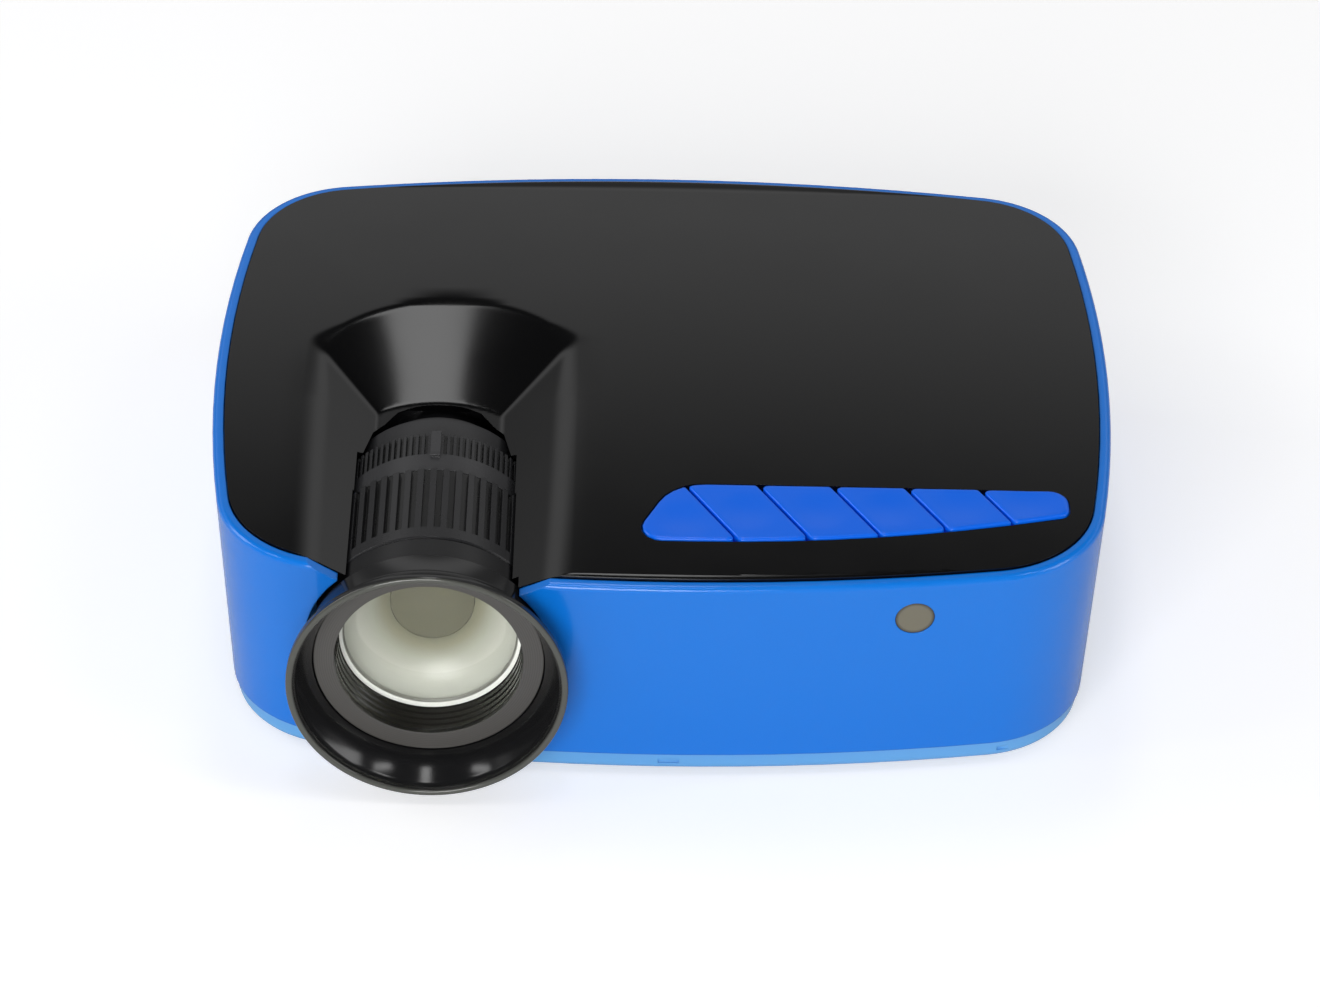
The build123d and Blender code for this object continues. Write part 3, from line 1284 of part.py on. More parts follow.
def screw_set(places, plane, head_radius, head_height, shank_radius, shank_length):
    """Plain screws: heads on the plane and shanks along its normal, at places in the plane."""
    with BuildPart() as screws:
        with BuildSketch(plane):
            with Locations(places):
                Circle(shank_radius)
        extrude(amount=shank_length)
        with BuildSketch(plane):
            with Locations(places):
                Circle(head_radius)
        extrude(amount=-head_height)
        back_plane = Plane(origin=plane.origin - plane.z_dir * head_height, x_dir=plane.x_dir,
                           z_dir=plane.z_dir)
        with BuildSketch(back_plane):
            with Locations(places):
                Rectangle(head_radius, 0.5)
                Rectangle(0.5, head_radius)
        extrude(amount=0.45 * head_height, mode=Mode.SUBTRACT)
    return screws.part


case_screw_seat = base_z + 9.0
case_screws = screw_set(post_places, Plane.XY.offset(case_screw_seat), 2.8, 1.8, screw_radius, 24)
case_screws.label = "case_screws"
export_step(case_screws, "parts/case_screws.step")

flange_face = Plane(origin=(lens_x, engine_y - flange_thickness, lens_z), x_dir=(1, 0, 0),
                    z_dir=(0, 1, 0))
flange_places = [(-17, -10), (17, -10), (-17, 19.5), (17, 19.5)]
lid_places = [(lens_x + sx * (engine_width - 7) / 2, engine_middle_y + sy * (engine_length - 7) / 2)
              for sx in (-1, 1) for sy in (-1, 1)]
flange_screws = screw_set(flange_places, flange_face, 2.6, 1.6, screw_radius - running_gap, 4.0)
lid_screws = screw_set([(x, -y) for x, y in lid_places],
                       Plane(origin=(0, 0, engine_top_z), x_dir=(1, 0, 0), z_dir=(0, 0, -1)),
                       2.0, 1.0, 0.95, 7)
base_screws = screw_set([(x, -y) for x, y in engine_pads],
                        Plane(origin=(0, 0, engine_base_z + engine_wall), x_dir=(1, 0, 0),
                              z_dir=(0, 0, -1)), 2.4, 1.2, screw_radius - running_gap, 4.0)
engine_screws = Compound(children=[*flange_screws.solids(), *lid_screws.solids(),
                                   *base_screws.solids()])
engine_screws.label = "engine_screws"
export_step(engine_screws, "parts/engine_screws.step")

fan_screws = screw_set([(x, y) for x in (-fan_hole_pitch / 2, fan_hole_pitch / 2)
                        for y in (-fan_hole_pitch / 2, fan_hole_pitch / 2)],
                       Plane(origin=(lens_x, fan_y + 2.2, fan_z), x_dir=(1, 0, 0), z_dir=(0, 1, 0)),
                       fan_screw_head, 1.8, screw_radius, fan_depth - 2.2 + 0.9)
fan_screws.label = "fan_screws"
export_step(fan_screws, "parts/fan_screws.step")

main_screws = screw_set([(x, -y) for x, y in main_corners],
                        Plane(origin=(0, 0, main_top), x_dir=(1, 0, 0), z_dir=(0, 0, -1)),
                        2.2, 1.3, 0.95, 6.0)
power_screws = screw_set([(x, -y) for x, y in power_corners],
                         Plane(origin=(0, 0, power_top), x_dir=(1, 0, 0), z_dir=(0, 0, -1)),
                         2.2, 1.3, 0.95, 5.0)
board_screws = Compound(children=[*main_screws.solids(), *power_screws.solids()])
board_screws.label = "board_screws"
export_step(board_screws, "parts/board_screws.step")

keypad_screws = screw_set(key_post_places, Plane.XY.offset(key_board_z - board_thickness), 2.2, 1.2,
                          0.95, board_thickness + 4.5)
keypad_screws.label = "keypad_screws"
export_step(keypad_screws, "parts/keypad_screws.step")
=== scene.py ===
import math

import bmesh
import bpy
import numpy as np
from mathutils import Matrix, Vector


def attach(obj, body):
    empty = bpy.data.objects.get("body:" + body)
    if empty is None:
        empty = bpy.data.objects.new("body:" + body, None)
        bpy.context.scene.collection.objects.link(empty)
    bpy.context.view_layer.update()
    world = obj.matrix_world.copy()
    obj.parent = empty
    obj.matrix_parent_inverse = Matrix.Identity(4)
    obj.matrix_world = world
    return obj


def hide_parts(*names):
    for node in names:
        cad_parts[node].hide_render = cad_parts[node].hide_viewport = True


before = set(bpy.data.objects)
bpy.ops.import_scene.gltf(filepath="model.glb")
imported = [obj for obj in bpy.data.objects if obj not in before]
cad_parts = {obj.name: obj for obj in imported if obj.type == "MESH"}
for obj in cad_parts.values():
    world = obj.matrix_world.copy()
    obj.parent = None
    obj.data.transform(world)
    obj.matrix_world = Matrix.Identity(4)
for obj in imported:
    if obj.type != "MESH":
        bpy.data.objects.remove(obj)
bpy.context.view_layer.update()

# The view. The photograph looks down on the projector from 1.2 m, 36 degrees above the table,
# turned by under half a degree and leaning a little. A longer lens fills the frame with it.
elevation, turn, lean = math.radians(36.4), math.radians(-0.38), math.radians(1.22)
top_middle, distance = Vector((0, 0.004, 0.0555)), 1.1988
back = Vector((math.sin(turn) * math.cos(elevation), -math.cos(turn) * math.cos(elevation),
               math.sin(elevation)))
camera = bpy.data.objects.new("camera", bpy.data.cameras.new("camera"))
bpy.context.scene.collection.objects.link(camera)
camera.data.sensor_width = 36.0
camera.data.lens = 146.0
camera.data.clip_start, camera.data.clip_end = 0.05, 20.0
camera.location = top_middle + back * distance
aim = Vector((0.0, -0.006, 0.0262))
camera.rotation_mode = "QUATERNION"
camera.rotation_quaternion = ((aim - camera.location).to_track_quat("-Z", "Y")
                              @ Matrix.Rotation(lean, 3, "Z").to_quaternion())
bpy.context.scene.camera = camera
bpy.context.scene.view_settings.view_transform = "Standard"


# The light. A white sweep stands behind the table, dim near the floor and overhead, so the black
# cover shows it bright at its back edge and dark at its front; soft boxes hang round the table.
def linear(code, alpha=1.0):
    """Turns an sRGB hex colour to linear: each channel goes through the sRGB curve."""
    parts = [int(code[i:i + 2], 16) / 255 for i in (1, 3, 5)]
    return (*[c / 12.92 if c <= 0.04045 else ((c + 0.055) / 1.055) ** 2.4 for c in parts], alpha)


def add(tree, kind, settings=None, links=None):
    """Adds a node to a tree, sets its sockets or properties, and links (node, socket) into it."""
    made = tree.nodes.new(kind)
    for name, value in (settings or {}).items():
        if isinstance(name, int) or name in made.inputs:
            made.inputs[name].default_value = value
        else:
            setattr(made, name, value)
    for name, (source, socket) in (links or {}).items():
        tree.links.new(source.outputs[socket], made.inputs[name])
    return made


world = bpy.data.worlds.new("studio")
bpy.context.scene.world = world
world.use_nodes = True
world.node_tree.nodes.clear()
t = world.node_tree
way = add(t, "ShaderNodeTexCoord")
axes = add(t, "ShaderNodeSeparateXYZ", links={0: (way, "Generated")})
sweep = add(t, "ShaderNodeValToRGB", links={"Fac": (axes, "Z")})
sweep_levels = ((0.0, 0.45), (0.22, 0.18), (0.36, 0.22), (0.46, 0.9), (0.545, 1.0), (0.64, 0.03), (1.0, 0.06))
for height, level in sweep_levels:
    stop = (sweep.color_ramp.elements[0] if height == 0.0 else sweep.color_ramp.elements[-1]
            if height == 1.0 else sweep.color_ramp.elements.new(height))
    stop.color = (level, level, level, 1.0)
# The sweep is brightest behind the table. What lights matt faces is even, and the camera sees white.
behind = add(t, "ShaderNodeMapRange", {"From Min": -0.5, "From Max": 0.3, "To Min": 0.5,
             "To Max": 1.0}, {"Value": (axes, "Y")})
seen = add(t, "ShaderNodeMath", {"operation": "MULTIPLY"}, {0: (sweep, "Color"), 1: (behind, "Result")})
path = add(t, "ShaderNodeLightPath")
room_level = 0.27
soft = add(t, "ShaderNodeMix", {"data_type": "FLOAT", 2: room_level},
           {0: (path, "Is Glossy Ray"), 3: (seen, 0)})
white = add(t, "ShaderNodeMath", {"operation": "MAXIMUM"}, {0: (path, "Is Camera Ray"), 1: (soft, 0)})
glow = add(t, "ShaderNodeBackground", links={"Strength": (white, 0)})
add(t, "ShaderNodeOutputWorld", links={"Surface": (glow, 0)})


def soft_box(name, place, target, size, power):
    """A white rectangular area lamp at place that faces target. Metres and watts."""
    lamp = bpy.data.lights.new(name, "AREA")
    lamp.shape, (lamp.size, lamp.size_y) = "RECTANGLE", size
    lamp.energy = power
    made = bpy.data.objects.new(name, lamp)
    made.location = place
    made.rotation_mode = "QUATERNION"
    made.rotation_quaternion = (Vector(target) - Vector(place)).to_track_quat("-Z", "Y")
    bpy.context.scene.collection.objects.link(made)


soft_box("overhead_box", (-0.05, 0.46, 1.10), (-0.05, 0, 0), (0.21, 0.5), 1.12)
soft_box("front_box", (-0.35, -1.5, 0.75), (0, 0, 0.02), (0.9, 0.6), 16.0)
soft_box("right_box", (1.25, -0.45, 0.6), (0, 0, 0.02), (0.5, 0.8), 3.8)
soft_box("left_box", (-1.2, 0.1, 0.6), (0, 0, 0.02), (0.5, 0.8), 3.6)
# Three narrow strips above the front leave the three glints in the hood.
for side, place in (("right", (0.62, -0.33, 1.05)), ("middle", (-0.05, -0.34, 1.15)),
                    ("left", (-0.88, -0.33, 0.95))):
    soft_box(f"{side}_strip", place, (-0.05, -0.07, 0.03), (0.13, 0.28), 0.62)

# The table: a matt white board under the projector, which keeps its soft shadow.
board = bpy.data.materials.new("matt_white_board")
board.use_nodes = True
t = board.node_tree
t.nodes.clear()
where = add(t, "ShaderNodeTexCoord")
fibres = add(t, "ShaderNodeTexNoise", {"Scale": 900.0, "Detail": 3.0}, {"Vector": (where, "Object")})
relief = add(t, "ShaderNodeBump", {"Strength": 0.05, "Distance": 0.0002}, {"Height": (fibres, "Fac")})
paint = add(t, "ShaderNodeBsdfDiffuse", {"Color": linear("#E4E4E5")}, {"Normal": (relief, 0)})
path = add(t, "ShaderNodeLightPath")
lift = add(t, "ShaderNodeMath", {"operation": "MULTIPLY", 1: 0.45}, {0: (path, "Is Camera Ray")})
shine = add(t, "ShaderNodeEmission", {"Color": linear("#FFFFFF")}, {"Strength": (lift, 0)})
both = add(t, "ShaderNodeAddShader", links={0: (paint, 0), 1: (shine, 0)})
add(t, "ShaderNodeOutputMaterial", links={"Surface": (both, 0)})

floor = bpy.data.objects.new("table_board", bpy.data.meshes.new("table_board"))
half = 4.0
corners = [(-half, -half, 0), (half, -half, 0), (half, half, 0), (-half, half, 0)]
floor.data.from_pydata(corners, [], [(0, 1, 2, 3)])
floor.data.materials.append(board)
bpy.context.scene.collection.objects.link(floor)


# Every moulded or metal piece starts from one recipe: its colour, how polished it is, the grain
# that the tool left in it, and edges rounded as the mould or the press rounds them.
def finish_of(name, colour, rough, grain_mm=0.25, relief_mm=0.004, spread=0.06, edge_mm=0.25,
              metal=0.0, coat=0.0, ior=1.5):
    """A Principled material with fine grain, uneven gloss and rounded edges. Gives the material, its
    tree, its shader and its coordinates, for what a finish adds of its own."""
    material = bpy.data.materials.new(name)
    material.use_nodes = True
    tree = material.node_tree
    tree.nodes.clear()
    where = add(tree, "ShaderNodeTexCoord")
    grain = add(tree, "ShaderNodeTexNoise", {"Scale": 1000.0 / grain_mm, "Detail": 2.0},
                {"Vector": (where, "Object")})
    clouds = add(tree, "ShaderNodeTexNoise", {"Scale": 60.0, "Detail": 4.0}, {"Vector": (where, "Object")})
    gloss = add(tree, "ShaderNodeMapRange", {"From Min": 0.3, "From Max": 0.7, "To Min": rough - spread / 2,
                "To Max": rough + spread / 2}, {"Value": (clouds, "Fac")})
    rounded = add(tree, "ShaderNodeBevel", {"Radius": edge_mm / 1000, "samples": 6})
    bump = add(tree, "ShaderNodeBump", {"Strength": 1.0, "Distance": relief_mm / 1000},
               {"Height": (grain, "Fac"), "Normal": (rounded, 0)})
    body = add(tree, "ShaderNodeBsdfPrincipled", {"Base Color": linear(colour), "Metallic": metal,
               "Coat Weight": coat, "Coat Roughness": 0.06},
               {"Roughness": (gloss, "Result"), "Normal": (bump, 0)})
    if metal < 0.5:
        body.inputs["IOR"].default_value = ior
    add(tree, "ShaderNodeOutputMaterial", links={"Surface": (body, 0)})
    return material, tree, body, where


def dress(material, *nodes):
    """Gives CAD nodes a material."""
    for name in nodes:
        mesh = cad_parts[name].data
        mesh.materials.clear()
        mesh.materials.append(material)
        mesh.polygons.foreach_set("material_index", np.zeros(len(mesh.polygons), dtype=np.int32))


# The base: a shallow shell moulded in a paler, smoother blue ABS than the walls, with its foot
# pads, its speaker slots and the boss that holds the tripod thread.
base_abs, *_ = finish_of("pale_blue_abs", "#68B0EE", 0.24, coat=0.4, spread=0.04)
dress(base_abs, "bottom_cover")

# Four feet, punched from silicone rubber sheet and glued into their rings: the sheet keeps a dull
# skin and holds dust in its grain.
foot_rubber, t, body, where = finish_of("silicone_rubber", "#19191A", 0.78, 0.3, 0.03, ior=1.42)
dust = add(t, "ShaderNodeTexNoise", {"Scale": 420.0, "Detail": 6.0}, {"Vector": (where, "Object")})
dusty = add(t, "ShaderNodeMapRange", {"From Min": 0.55, "From Max": 0.8, "To Max": 0.6},
            {"Value": (dust, "Fac")})
skin = add(t, "ShaderNodeMix", {"data_type": "RGBA", 6: linear("#151516"), 7: linear("#3A3A39")},
           {0: (dusty, "Result")})
t.links.new(skin.outputs[2], body.inputs["Base Color"])
dress(foot_rubber, "rubber_feet")

# The tripod thread: a brass insert turned from bar and pressed into its boss. The tool leaves
# rings 0.2 mm apart, drawn here at 0.8 mm so that they show.
turned_brass, t, body, where = finish_of("turned_brass", "#C9A45C", 0.26, metal=1.0)
rings = add(t, "ShaderNodeTexWave", {"wave_type": "BANDS", "bands_direction": "Z", "Scale": 397.887,
            "Distortion": 0.4}, {"Vector": (where, "Object")})
cut_marks = add(t, "ShaderNodeBump", {"Distance": 0.00003}, {"Height": (rings, "Fac"),
                "Normal": (body.inputs["Normal"].links[0].from_node, 0)})
t.links.new(cut_marks.outputs[0], body.inputs["Normal"])
dress(turned_brass, "tripod_insert")

# The three circuit boards: glass and epoxy laminate under green solder mask. Copper tracks run
# under the mask 1.3 mm apart and lighten it, and the fields between them differ a little.
solder_mask, t, body, where = finish_of("green_solder_mask", "#0F4A2A", 0.3, 0.4, 0.004, edge_mm=0.1)
tracks = add(t, "ShaderNodeTexBrick", {"Color1": linear("#0E4527"), "Color2": linear("#14592F"),
             "Mortar": linear("#2C7D45"), "Scale": 1.0, "Mortar Size": 0.00016, "Brick Width": 0.0091,
             "Row Height": 0.0013, "Mortar Smooth": 0.3, "offset": 0.37}, {"Vector": (where, "Object")})
t.links.new(tracks.outputs["Color"], body.inputs["Base Color"])
dress(solder_mask, "power_board", "main_board", "keypad_board")

# The transformer: a ferrite core with a wound bobbin inside, wrapped in yellow polyester tape
# 19 mm wide, whose layers shade from one edge to the other and end unevenly.
winding_tape, t, body, where = finish_of("yellow_polyester_tape", "#D9B23C", 0.33, 0.5, 0.01, edge_mm=0.3)
layers = add(t, "ShaderNodeTexWave", {"wave_type": "BANDS", "bands_direction": "Z", "wave_profile": "SAW",
             "Scale": 16.6582, "Distortion": 1.2, "Detail": 2.0}, {"Vector": (where, "Object")})
tints = add(t, "ShaderNodeMix", {"data_type": "RGBA", 6: linear("#B98E24"), 7: linear("#E2BE4C")},
            {0: (layers, "Fac")})
t.links.new(tints.outputs[2], body.inputs["Base Color"])
dress(winding_tape, "power_transformer")

# The capacitors: aluminium cans in a shrunk PVC sleeve, bare at the top, where the can shows
# above the sleeve's rolled edge at 31.3 mm.
can_sleeve, t, body, where = finish_of("shrunk_pvc_sleeve", "#1B2A4A", 0.28, 0.4, 0.004, edge_mm=0.4)
place = add(t, "ShaderNodeSeparateXYZ", links={0: (where, "Object")})
bare_top = add(t, "ShaderNodeMapRange", {"From Min": 0.03125, "From Max": 0.0313}, {"Value": (place, "Z")})
two = add(t, "ShaderNodeMix", {"data_type": "RGBA", 6: linear("#1B2A4A"), 7: linear("#B9BCC0")},
          {0: (bare_top, "Result")})
t.links.new(two.outputs[2], body.inputs["Base Color"])
t.links.new(bare_top.outputs[0], body.inputs["Metallic"])
dress(can_sleeve, "power_capacitors")

# The mains inlet and the audio jack: black nylon filled with glass fibre, which leaves a coarse
# grain and an uneven gloss.
nylon, *_ = finish_of("glass_filled_nylon", "#17171A", 0.46, 0.35, 0.012, spread=0.14)
dress(nylon, "mains_inlet", "audio_jack")

# The video, data and card sockets: deep-drawn steel shells with bright nickel plate, and fine
# drawing lines along their length, 0.2 mm apart and drawn at 0.5 mm.
nickel, t, body, where = finish_of("nickel_plated_steel", "#B9B6AE", 0.24, metal=1.0, edge_mm=0.2)
stretch = add(t, "ShaderNodeMapping", {"Scale": (1.0, 0.04, 1.0)}, {"Vector": (where, "Object")})
drawn = add(t, "ShaderNodeTexNoise", {"Scale": 2000.0, "Detail": 3.0}, {"Vector": (stretch, 0)})
lines = add(t, "ShaderNodeBump", {"Distance": 0.00001}, {"Height": (drawn, "Fac"),
            "Normal": (body.inputs["Normal"].links[0].from_node, 0)})
t.links.new(lines.outputs[0], body.inputs["Normal"])
dress(nickel, "video_port", "data_ports", "card_slot")

# The processor's cooler and the big heat sink: extruded aluminium, sawn to length, with the fine
# lines of the die along the fins, drawn at 0.6 mm.
bare_aluminium, t, body, where = finish_of("extruded_aluminium", "#BFC1C4", 0.34, metal=1.0, edge_mm=0.15)
stretch = add(t, "ShaderNodeMapping", {"Scale": (1.0, 1.0, 0.03)}, {"Vector": (where, "Object")})
drawn = add(t, "ShaderNodeTexNoise", {"Scale": 1700.0, "Detail": 4.0}, {"Vector": (stretch, 0)})
lines = add(t, "ShaderNodeBump", {"Distance": 0.00002}, {"Height": (drawn, "Fac"),
            "Normal": (body.inputs["Normal"].links[0].from_node, 0)})
t.links.new(lines.outputs[0], body.inputs["Normal"])
dress(bare_aluminium, "processor_cooler", "heat_sink")

# The light box and its lid, and the fan: black ABS with flame retardant, moulded in a spark-worn
# tool that leaves a dull grain of 0.6 mm.
matt_abs, *_ = finish_of("grained_black_abs", "#161617", 0.58, 0.6, 0.03)
dress(matt_abs, "engine_case", "engine_lid", "fan_frame")
blade_pbt, *_ = finish_of("black_blade_pbt", "#1E1E20", 0.4, 0.5, 0.008, spread=0.1)
dress(blade_pbt, "fan_rotor")

# The lamp: a white-lacquered aluminium board with one yellow phosphor patch, 13 mm across, in a
# ring of tinned copper. The light box stands behind the lens, 7 mm lower than its axis.
def from_axis(tree, where, x, z):
    """How far a place lies from the line along Y through x and z, in metres: the place is moved so
    that the line runs through the origin, its Y is dropped, and the length of the rest is taken."""
    centred = add(tree, "ShaderNodeMapping", {"Location": (-x / 1000, 0.0, -z / 1000),
                  "Scale": (1.0, 0.0, 1.0)}, {"Vector": (where, "Object")})
    return add(tree, "ShaderNodeVectorMath", {"operation": "LENGTH"}, {0: (centred, 0)})


lens_x, light_z = -49.5, 26.0
lamp_board, t, body, where = finish_of("white_lamp_board", "#E6E6E1", 0.42, 0.4, 0.004)
away = from_axis(t, where, lens_x, light_z)
zones = add(t, "ShaderNodeValToRGB", links={"Fac": (away, "Value")})
zones.color_ramp.interpolation = "CONSTANT"
zones.color_ramp.elements[0].color = linear("#E3C13A")
zones.color_ramp.elements[1].position, zones.color_ramp.elements[1].color = 0.0078, linear("#E4E4DF")
zones.color_ramp.elements.new(0.0065).color = linear("#A8A59C")
t.links.new(zones.outputs[0], body.inputs["Base Color"])
dress(lamp_board, "led_module")

# The light cone: aluminium sheet with a vapour-coated mirror face, folded to a square funnel. Its
# gloss is a little uneven where the sheet was pulled.
mirror_sheet, *_ = finish_of("mirror_aluminium", "#D5D7D9", 0.12, 0.8, 0.002, spread=0.08, metal=1.0)
dress(mirror_sheet, "light_cone")

# Condenser, middle and rear lenses and the heat glass: ground and polished optical glass with
# the faint green of its coating.
optical_glass, t, body, where = finish_of("coated_optical_glass", "#EEF4EF", 0.05, 0.5, 0.0, spread=0.04,
                                          edge_mm=0.1, ior=1.52)
body.inputs["Transmission Weight"].default_value = 1.0
dress(optical_glass, "condenser_lens", "middle_lens", "rear_lens", "heat_glass")

# The two Fresnel lenses: cast acrylic sheet with ring grooves about the light's axis, 0.3 mm apart
# in the real ones and drawn at 0.8 mm.
grooved_acrylic, t, body, where = finish_of("grooved_acrylic", "#F2F5F6", 0.06, 0.5, 0.0,
                                            edge_mm=0.1, ior=1.49)
body.inputs["Transmission Weight"].default_value = 1.0
away = from_axis(t, where, lens_x, light_z)
grooves = add(t, "ShaderNodeMath", {"operation": "PINGPONG", 1: 0.0004}, {0: (away, "Value")})
facets = add(t, "ShaderNodeBump", {"Distance": 0.5}, {"Height": (grooves, 0),
             "Normal": (body.inputs["Normal"].links[0].from_node, 0)})
t.links.new(facets.outputs[0], body.inputs["Normal"])
dress(grooved_acrylic, "front_fresnel", "rear_fresnel")

# The picture panel: liquid crystal between two glasses, a bluish grey when it is off. Its pixels
# are drawn as cells 0.5 mm wide and high.
panel_glass, t, body, where = finish_of("liquid_crystal_glass", "#23262B", 0.08, 0.5, 0.0, spread=0.03,
                                        edge_mm=0.1)
cells = add(t, "ShaderNodeTexBrick", {"Color1": linear("#2A2E35"), "Color2": linear("#30343C"),
            "Mortar": linear("#14161A"), "Scale": 1.0, "Mortar Size": 0.00005, "Brick Width": 0.0005,
            "Row Height": 0.0005, "offset": 0.0})
turned = add(t, "ShaderNodeMapping", {"Rotation": (math.pi / 2, 0.0, 0.0)}, {"Vector": (where, "Object")})
t.links.new(turned.outputs[0], cells.inputs["Vector"])
t.links.new(cells.outputs["Color"], body.inputs["Base Color"])
dress(panel_glass, "lcd_panel")

# The panel's carrier and every screw: steel with clear zinc plate, which is grey with a cold cast
# and slightly cloudy. The push rod is ground steel, smoother and more even.
zinc_steel, *_ = finish_of("zinc_plated_steel", "#A7AAAD", 0.32, 0.6, 0.006, spread=0.14, metal=1.0,
                           edge_mm=0.12)
dress(zinc_steel, "panel_carrier", "case_screws", "engine_screws", "fan_screws", "board_screws",
      "keypad_screws")
ground_rod, *_ = finish_of("ground_steel_rod", "#B4B6B8", 0.16, 0.3, 0.002, spread=0.05, metal=1.0,
                           edge_mm=0.1)
dress(ground_rod, "keystone_rod")

# The speaker: a pressed steel basket in black lacquer round a paper cone, whose fibres show as a
# soft mottle.
lacquered_steel, t, body, where = finish_of("black_lacquered_steel", "#1B1B1C", 0.36, 0.6, 0.01)
fibres = add(t, "ShaderNodeTexNoise", {"Scale": 700.0, "Detail": 6.0}, {"Vector": (where, "Object")})
mottle = add(t, "ShaderNodeMix", {"data_type": "RGBA", 6: linear("#151516"), 7: linear("#29292B")},
             {0: (fibres, "Fac")})
t.links.new(mottle.outputs[2], body.inputs["Base Color"])
dress(lacquered_steel, "speaker")

# The lens tube and its two rings: black ABS moulded in polished tools. The ribs are painted paler on their
# tops, a painted highlight, and near black between them, a painted shade in the grooves. The keystone ring
# has a smooth band in front that is painted paler, a painted sheen.
lens_z = 33.35
barrel_abs, *_ = finish_of("black_barrel_abs", "#1B1B1D", 0.3, 0.3, 0.004, edge_mm=0.22, spread=0.04)
dress(barrel_abs, "lens_tube")
least_r, span_r = 23.0, 3.0
# Each ring's colour goes by distance from the lens axis: dark at the foot of the ribs (painted shade) and
# paler at their tops (painted highlight).
for ring, painted_rib_stops in (("focus_ring", ((24.2, "#050506"), (24.9, "#222224"))),
                    ("keystone_ring", ((23.5, "#050506"), (23.9, "#1F1F21"), (24.4, "#3A3A3C")))):
    ribbed_abs, t, body, where = finish_of(f"{ring}_abs", "#1B1B1D", 0.27, 0.3, 0.004, edge_mm=0.2,
                                           spread=0.04)
    away = from_axis(t, where, lens_x, lens_z)
    share = add(t, "ShaderNodeMapRange", {"From Min": least_r / 1000, "From Max": (least_r + span_r) / 1000},
                {"Value": (away, "Value")})
    painted_rib_light = add(t, "ShaderNodeValToRGB", links={"Fac": (share, "Result")})
    ramp = painted_rib_light.color_ramp.elements
    for k, (radius, tint) in enumerate(painted_rib_stops):
        height = (radius - least_r) / span_r
        stop = ramp[0] if k == 0 else ramp[-1] if k == len(painted_rib_stops) - 1 else ramp.new(height)
        stop.position, stop.color = height, linear(tint)
    # Between Y -29.7 and -35.6 mm the ring is painted paler: a painted sheen.
    place = add(t, "ShaderNodeSeparateXYZ", links={0: (where, "Object")})
    before_ribs = add(t, "ShaderNodeMapRange", {"From Min": -0.0297, "From Max": -0.0299},
                      {"Value": (place, "Y")})
    behind_seam = add(t, "ShaderNodeMapRange", {"From Min": -0.0356, "From Max": -0.0357, "To Min": 1.0,
                      "To Max": 0.0}, {"Value": (place, "Y")})
    band = add(t, "ShaderNodeMath", {"operation": "MULTIPLY"},
               {0: (before_ribs, "Result"), 1: (behind_seam, "Result")})
    two = add(t, "ShaderNodeMix", {"data_type": "RGBA", 7: linear("#333335")}, {0: (band, 0), 6: (painted_rib_light, 0)})
    t.links.new(two.outputs[2], body.inputs["Base Color"])
    dress(ribbed_abs, ring)

# The front barrel is turned from the same ABS. Its flat front face is left satin and painted paler, a painted
# sheen, with the cutter's rings drawn on it 0.5 mm apart.
front_abs, t, body, where = finish_of("faced_black_abs", "#111113", 0.3, 0.3, 0.003, edge_mm=0.2, spread=0.04)
place = add(t, "ShaderNodeSeparateXYZ", links={0: (where, "Object")})
faced = add(t, "ShaderNodeMapRange", {"From Min": -0.07165, "From Max": -0.07175}, {"Value": (place, "Y")})
away = from_axis(t, where, lens_x, lens_z)
rings = add(t, "ShaderNodeMath", {"operation": "PINGPONG", 1: 0.00025}, {0: (away, "Value")})
cutter_rings_and_painted_sheen = add(t, "ShaderNodeMapRange", {"From Max": 0.00025, "To Min": 0.75, "To Max": 1.0},
             {"Value": (rings, 0)})
amount = add(t, "ShaderNodeMath", {"operation": "MULTIPLY"}, {0: (faced, "Result"), 1: (cutter_rings_and_painted_sheen, "Result")})
# The face's paler grey is a painted sheen; the cutter's rings vary it.
two = add(t, "ShaderNodeMix", {"data_type": "RGBA", 6: linear("#111113"), 7: linear("#5C5A57")},
          {0: (amount, 0)})
t.links.new(two.outputs[2], body.inputs["Base Color"])
dress(front_abs, "front_barrel")

# The retainer: a black ring, turned with fine steps so that stray light dies in its grooves. It
# is screwed in front of the glass.
baffle_abs, *_ = finish_of("black_baffle_abs", "#1C1B19", 0.2, 0.3, 0.003, edge_mm=0.12)
dress(baffle_abs, "lens_retainer")


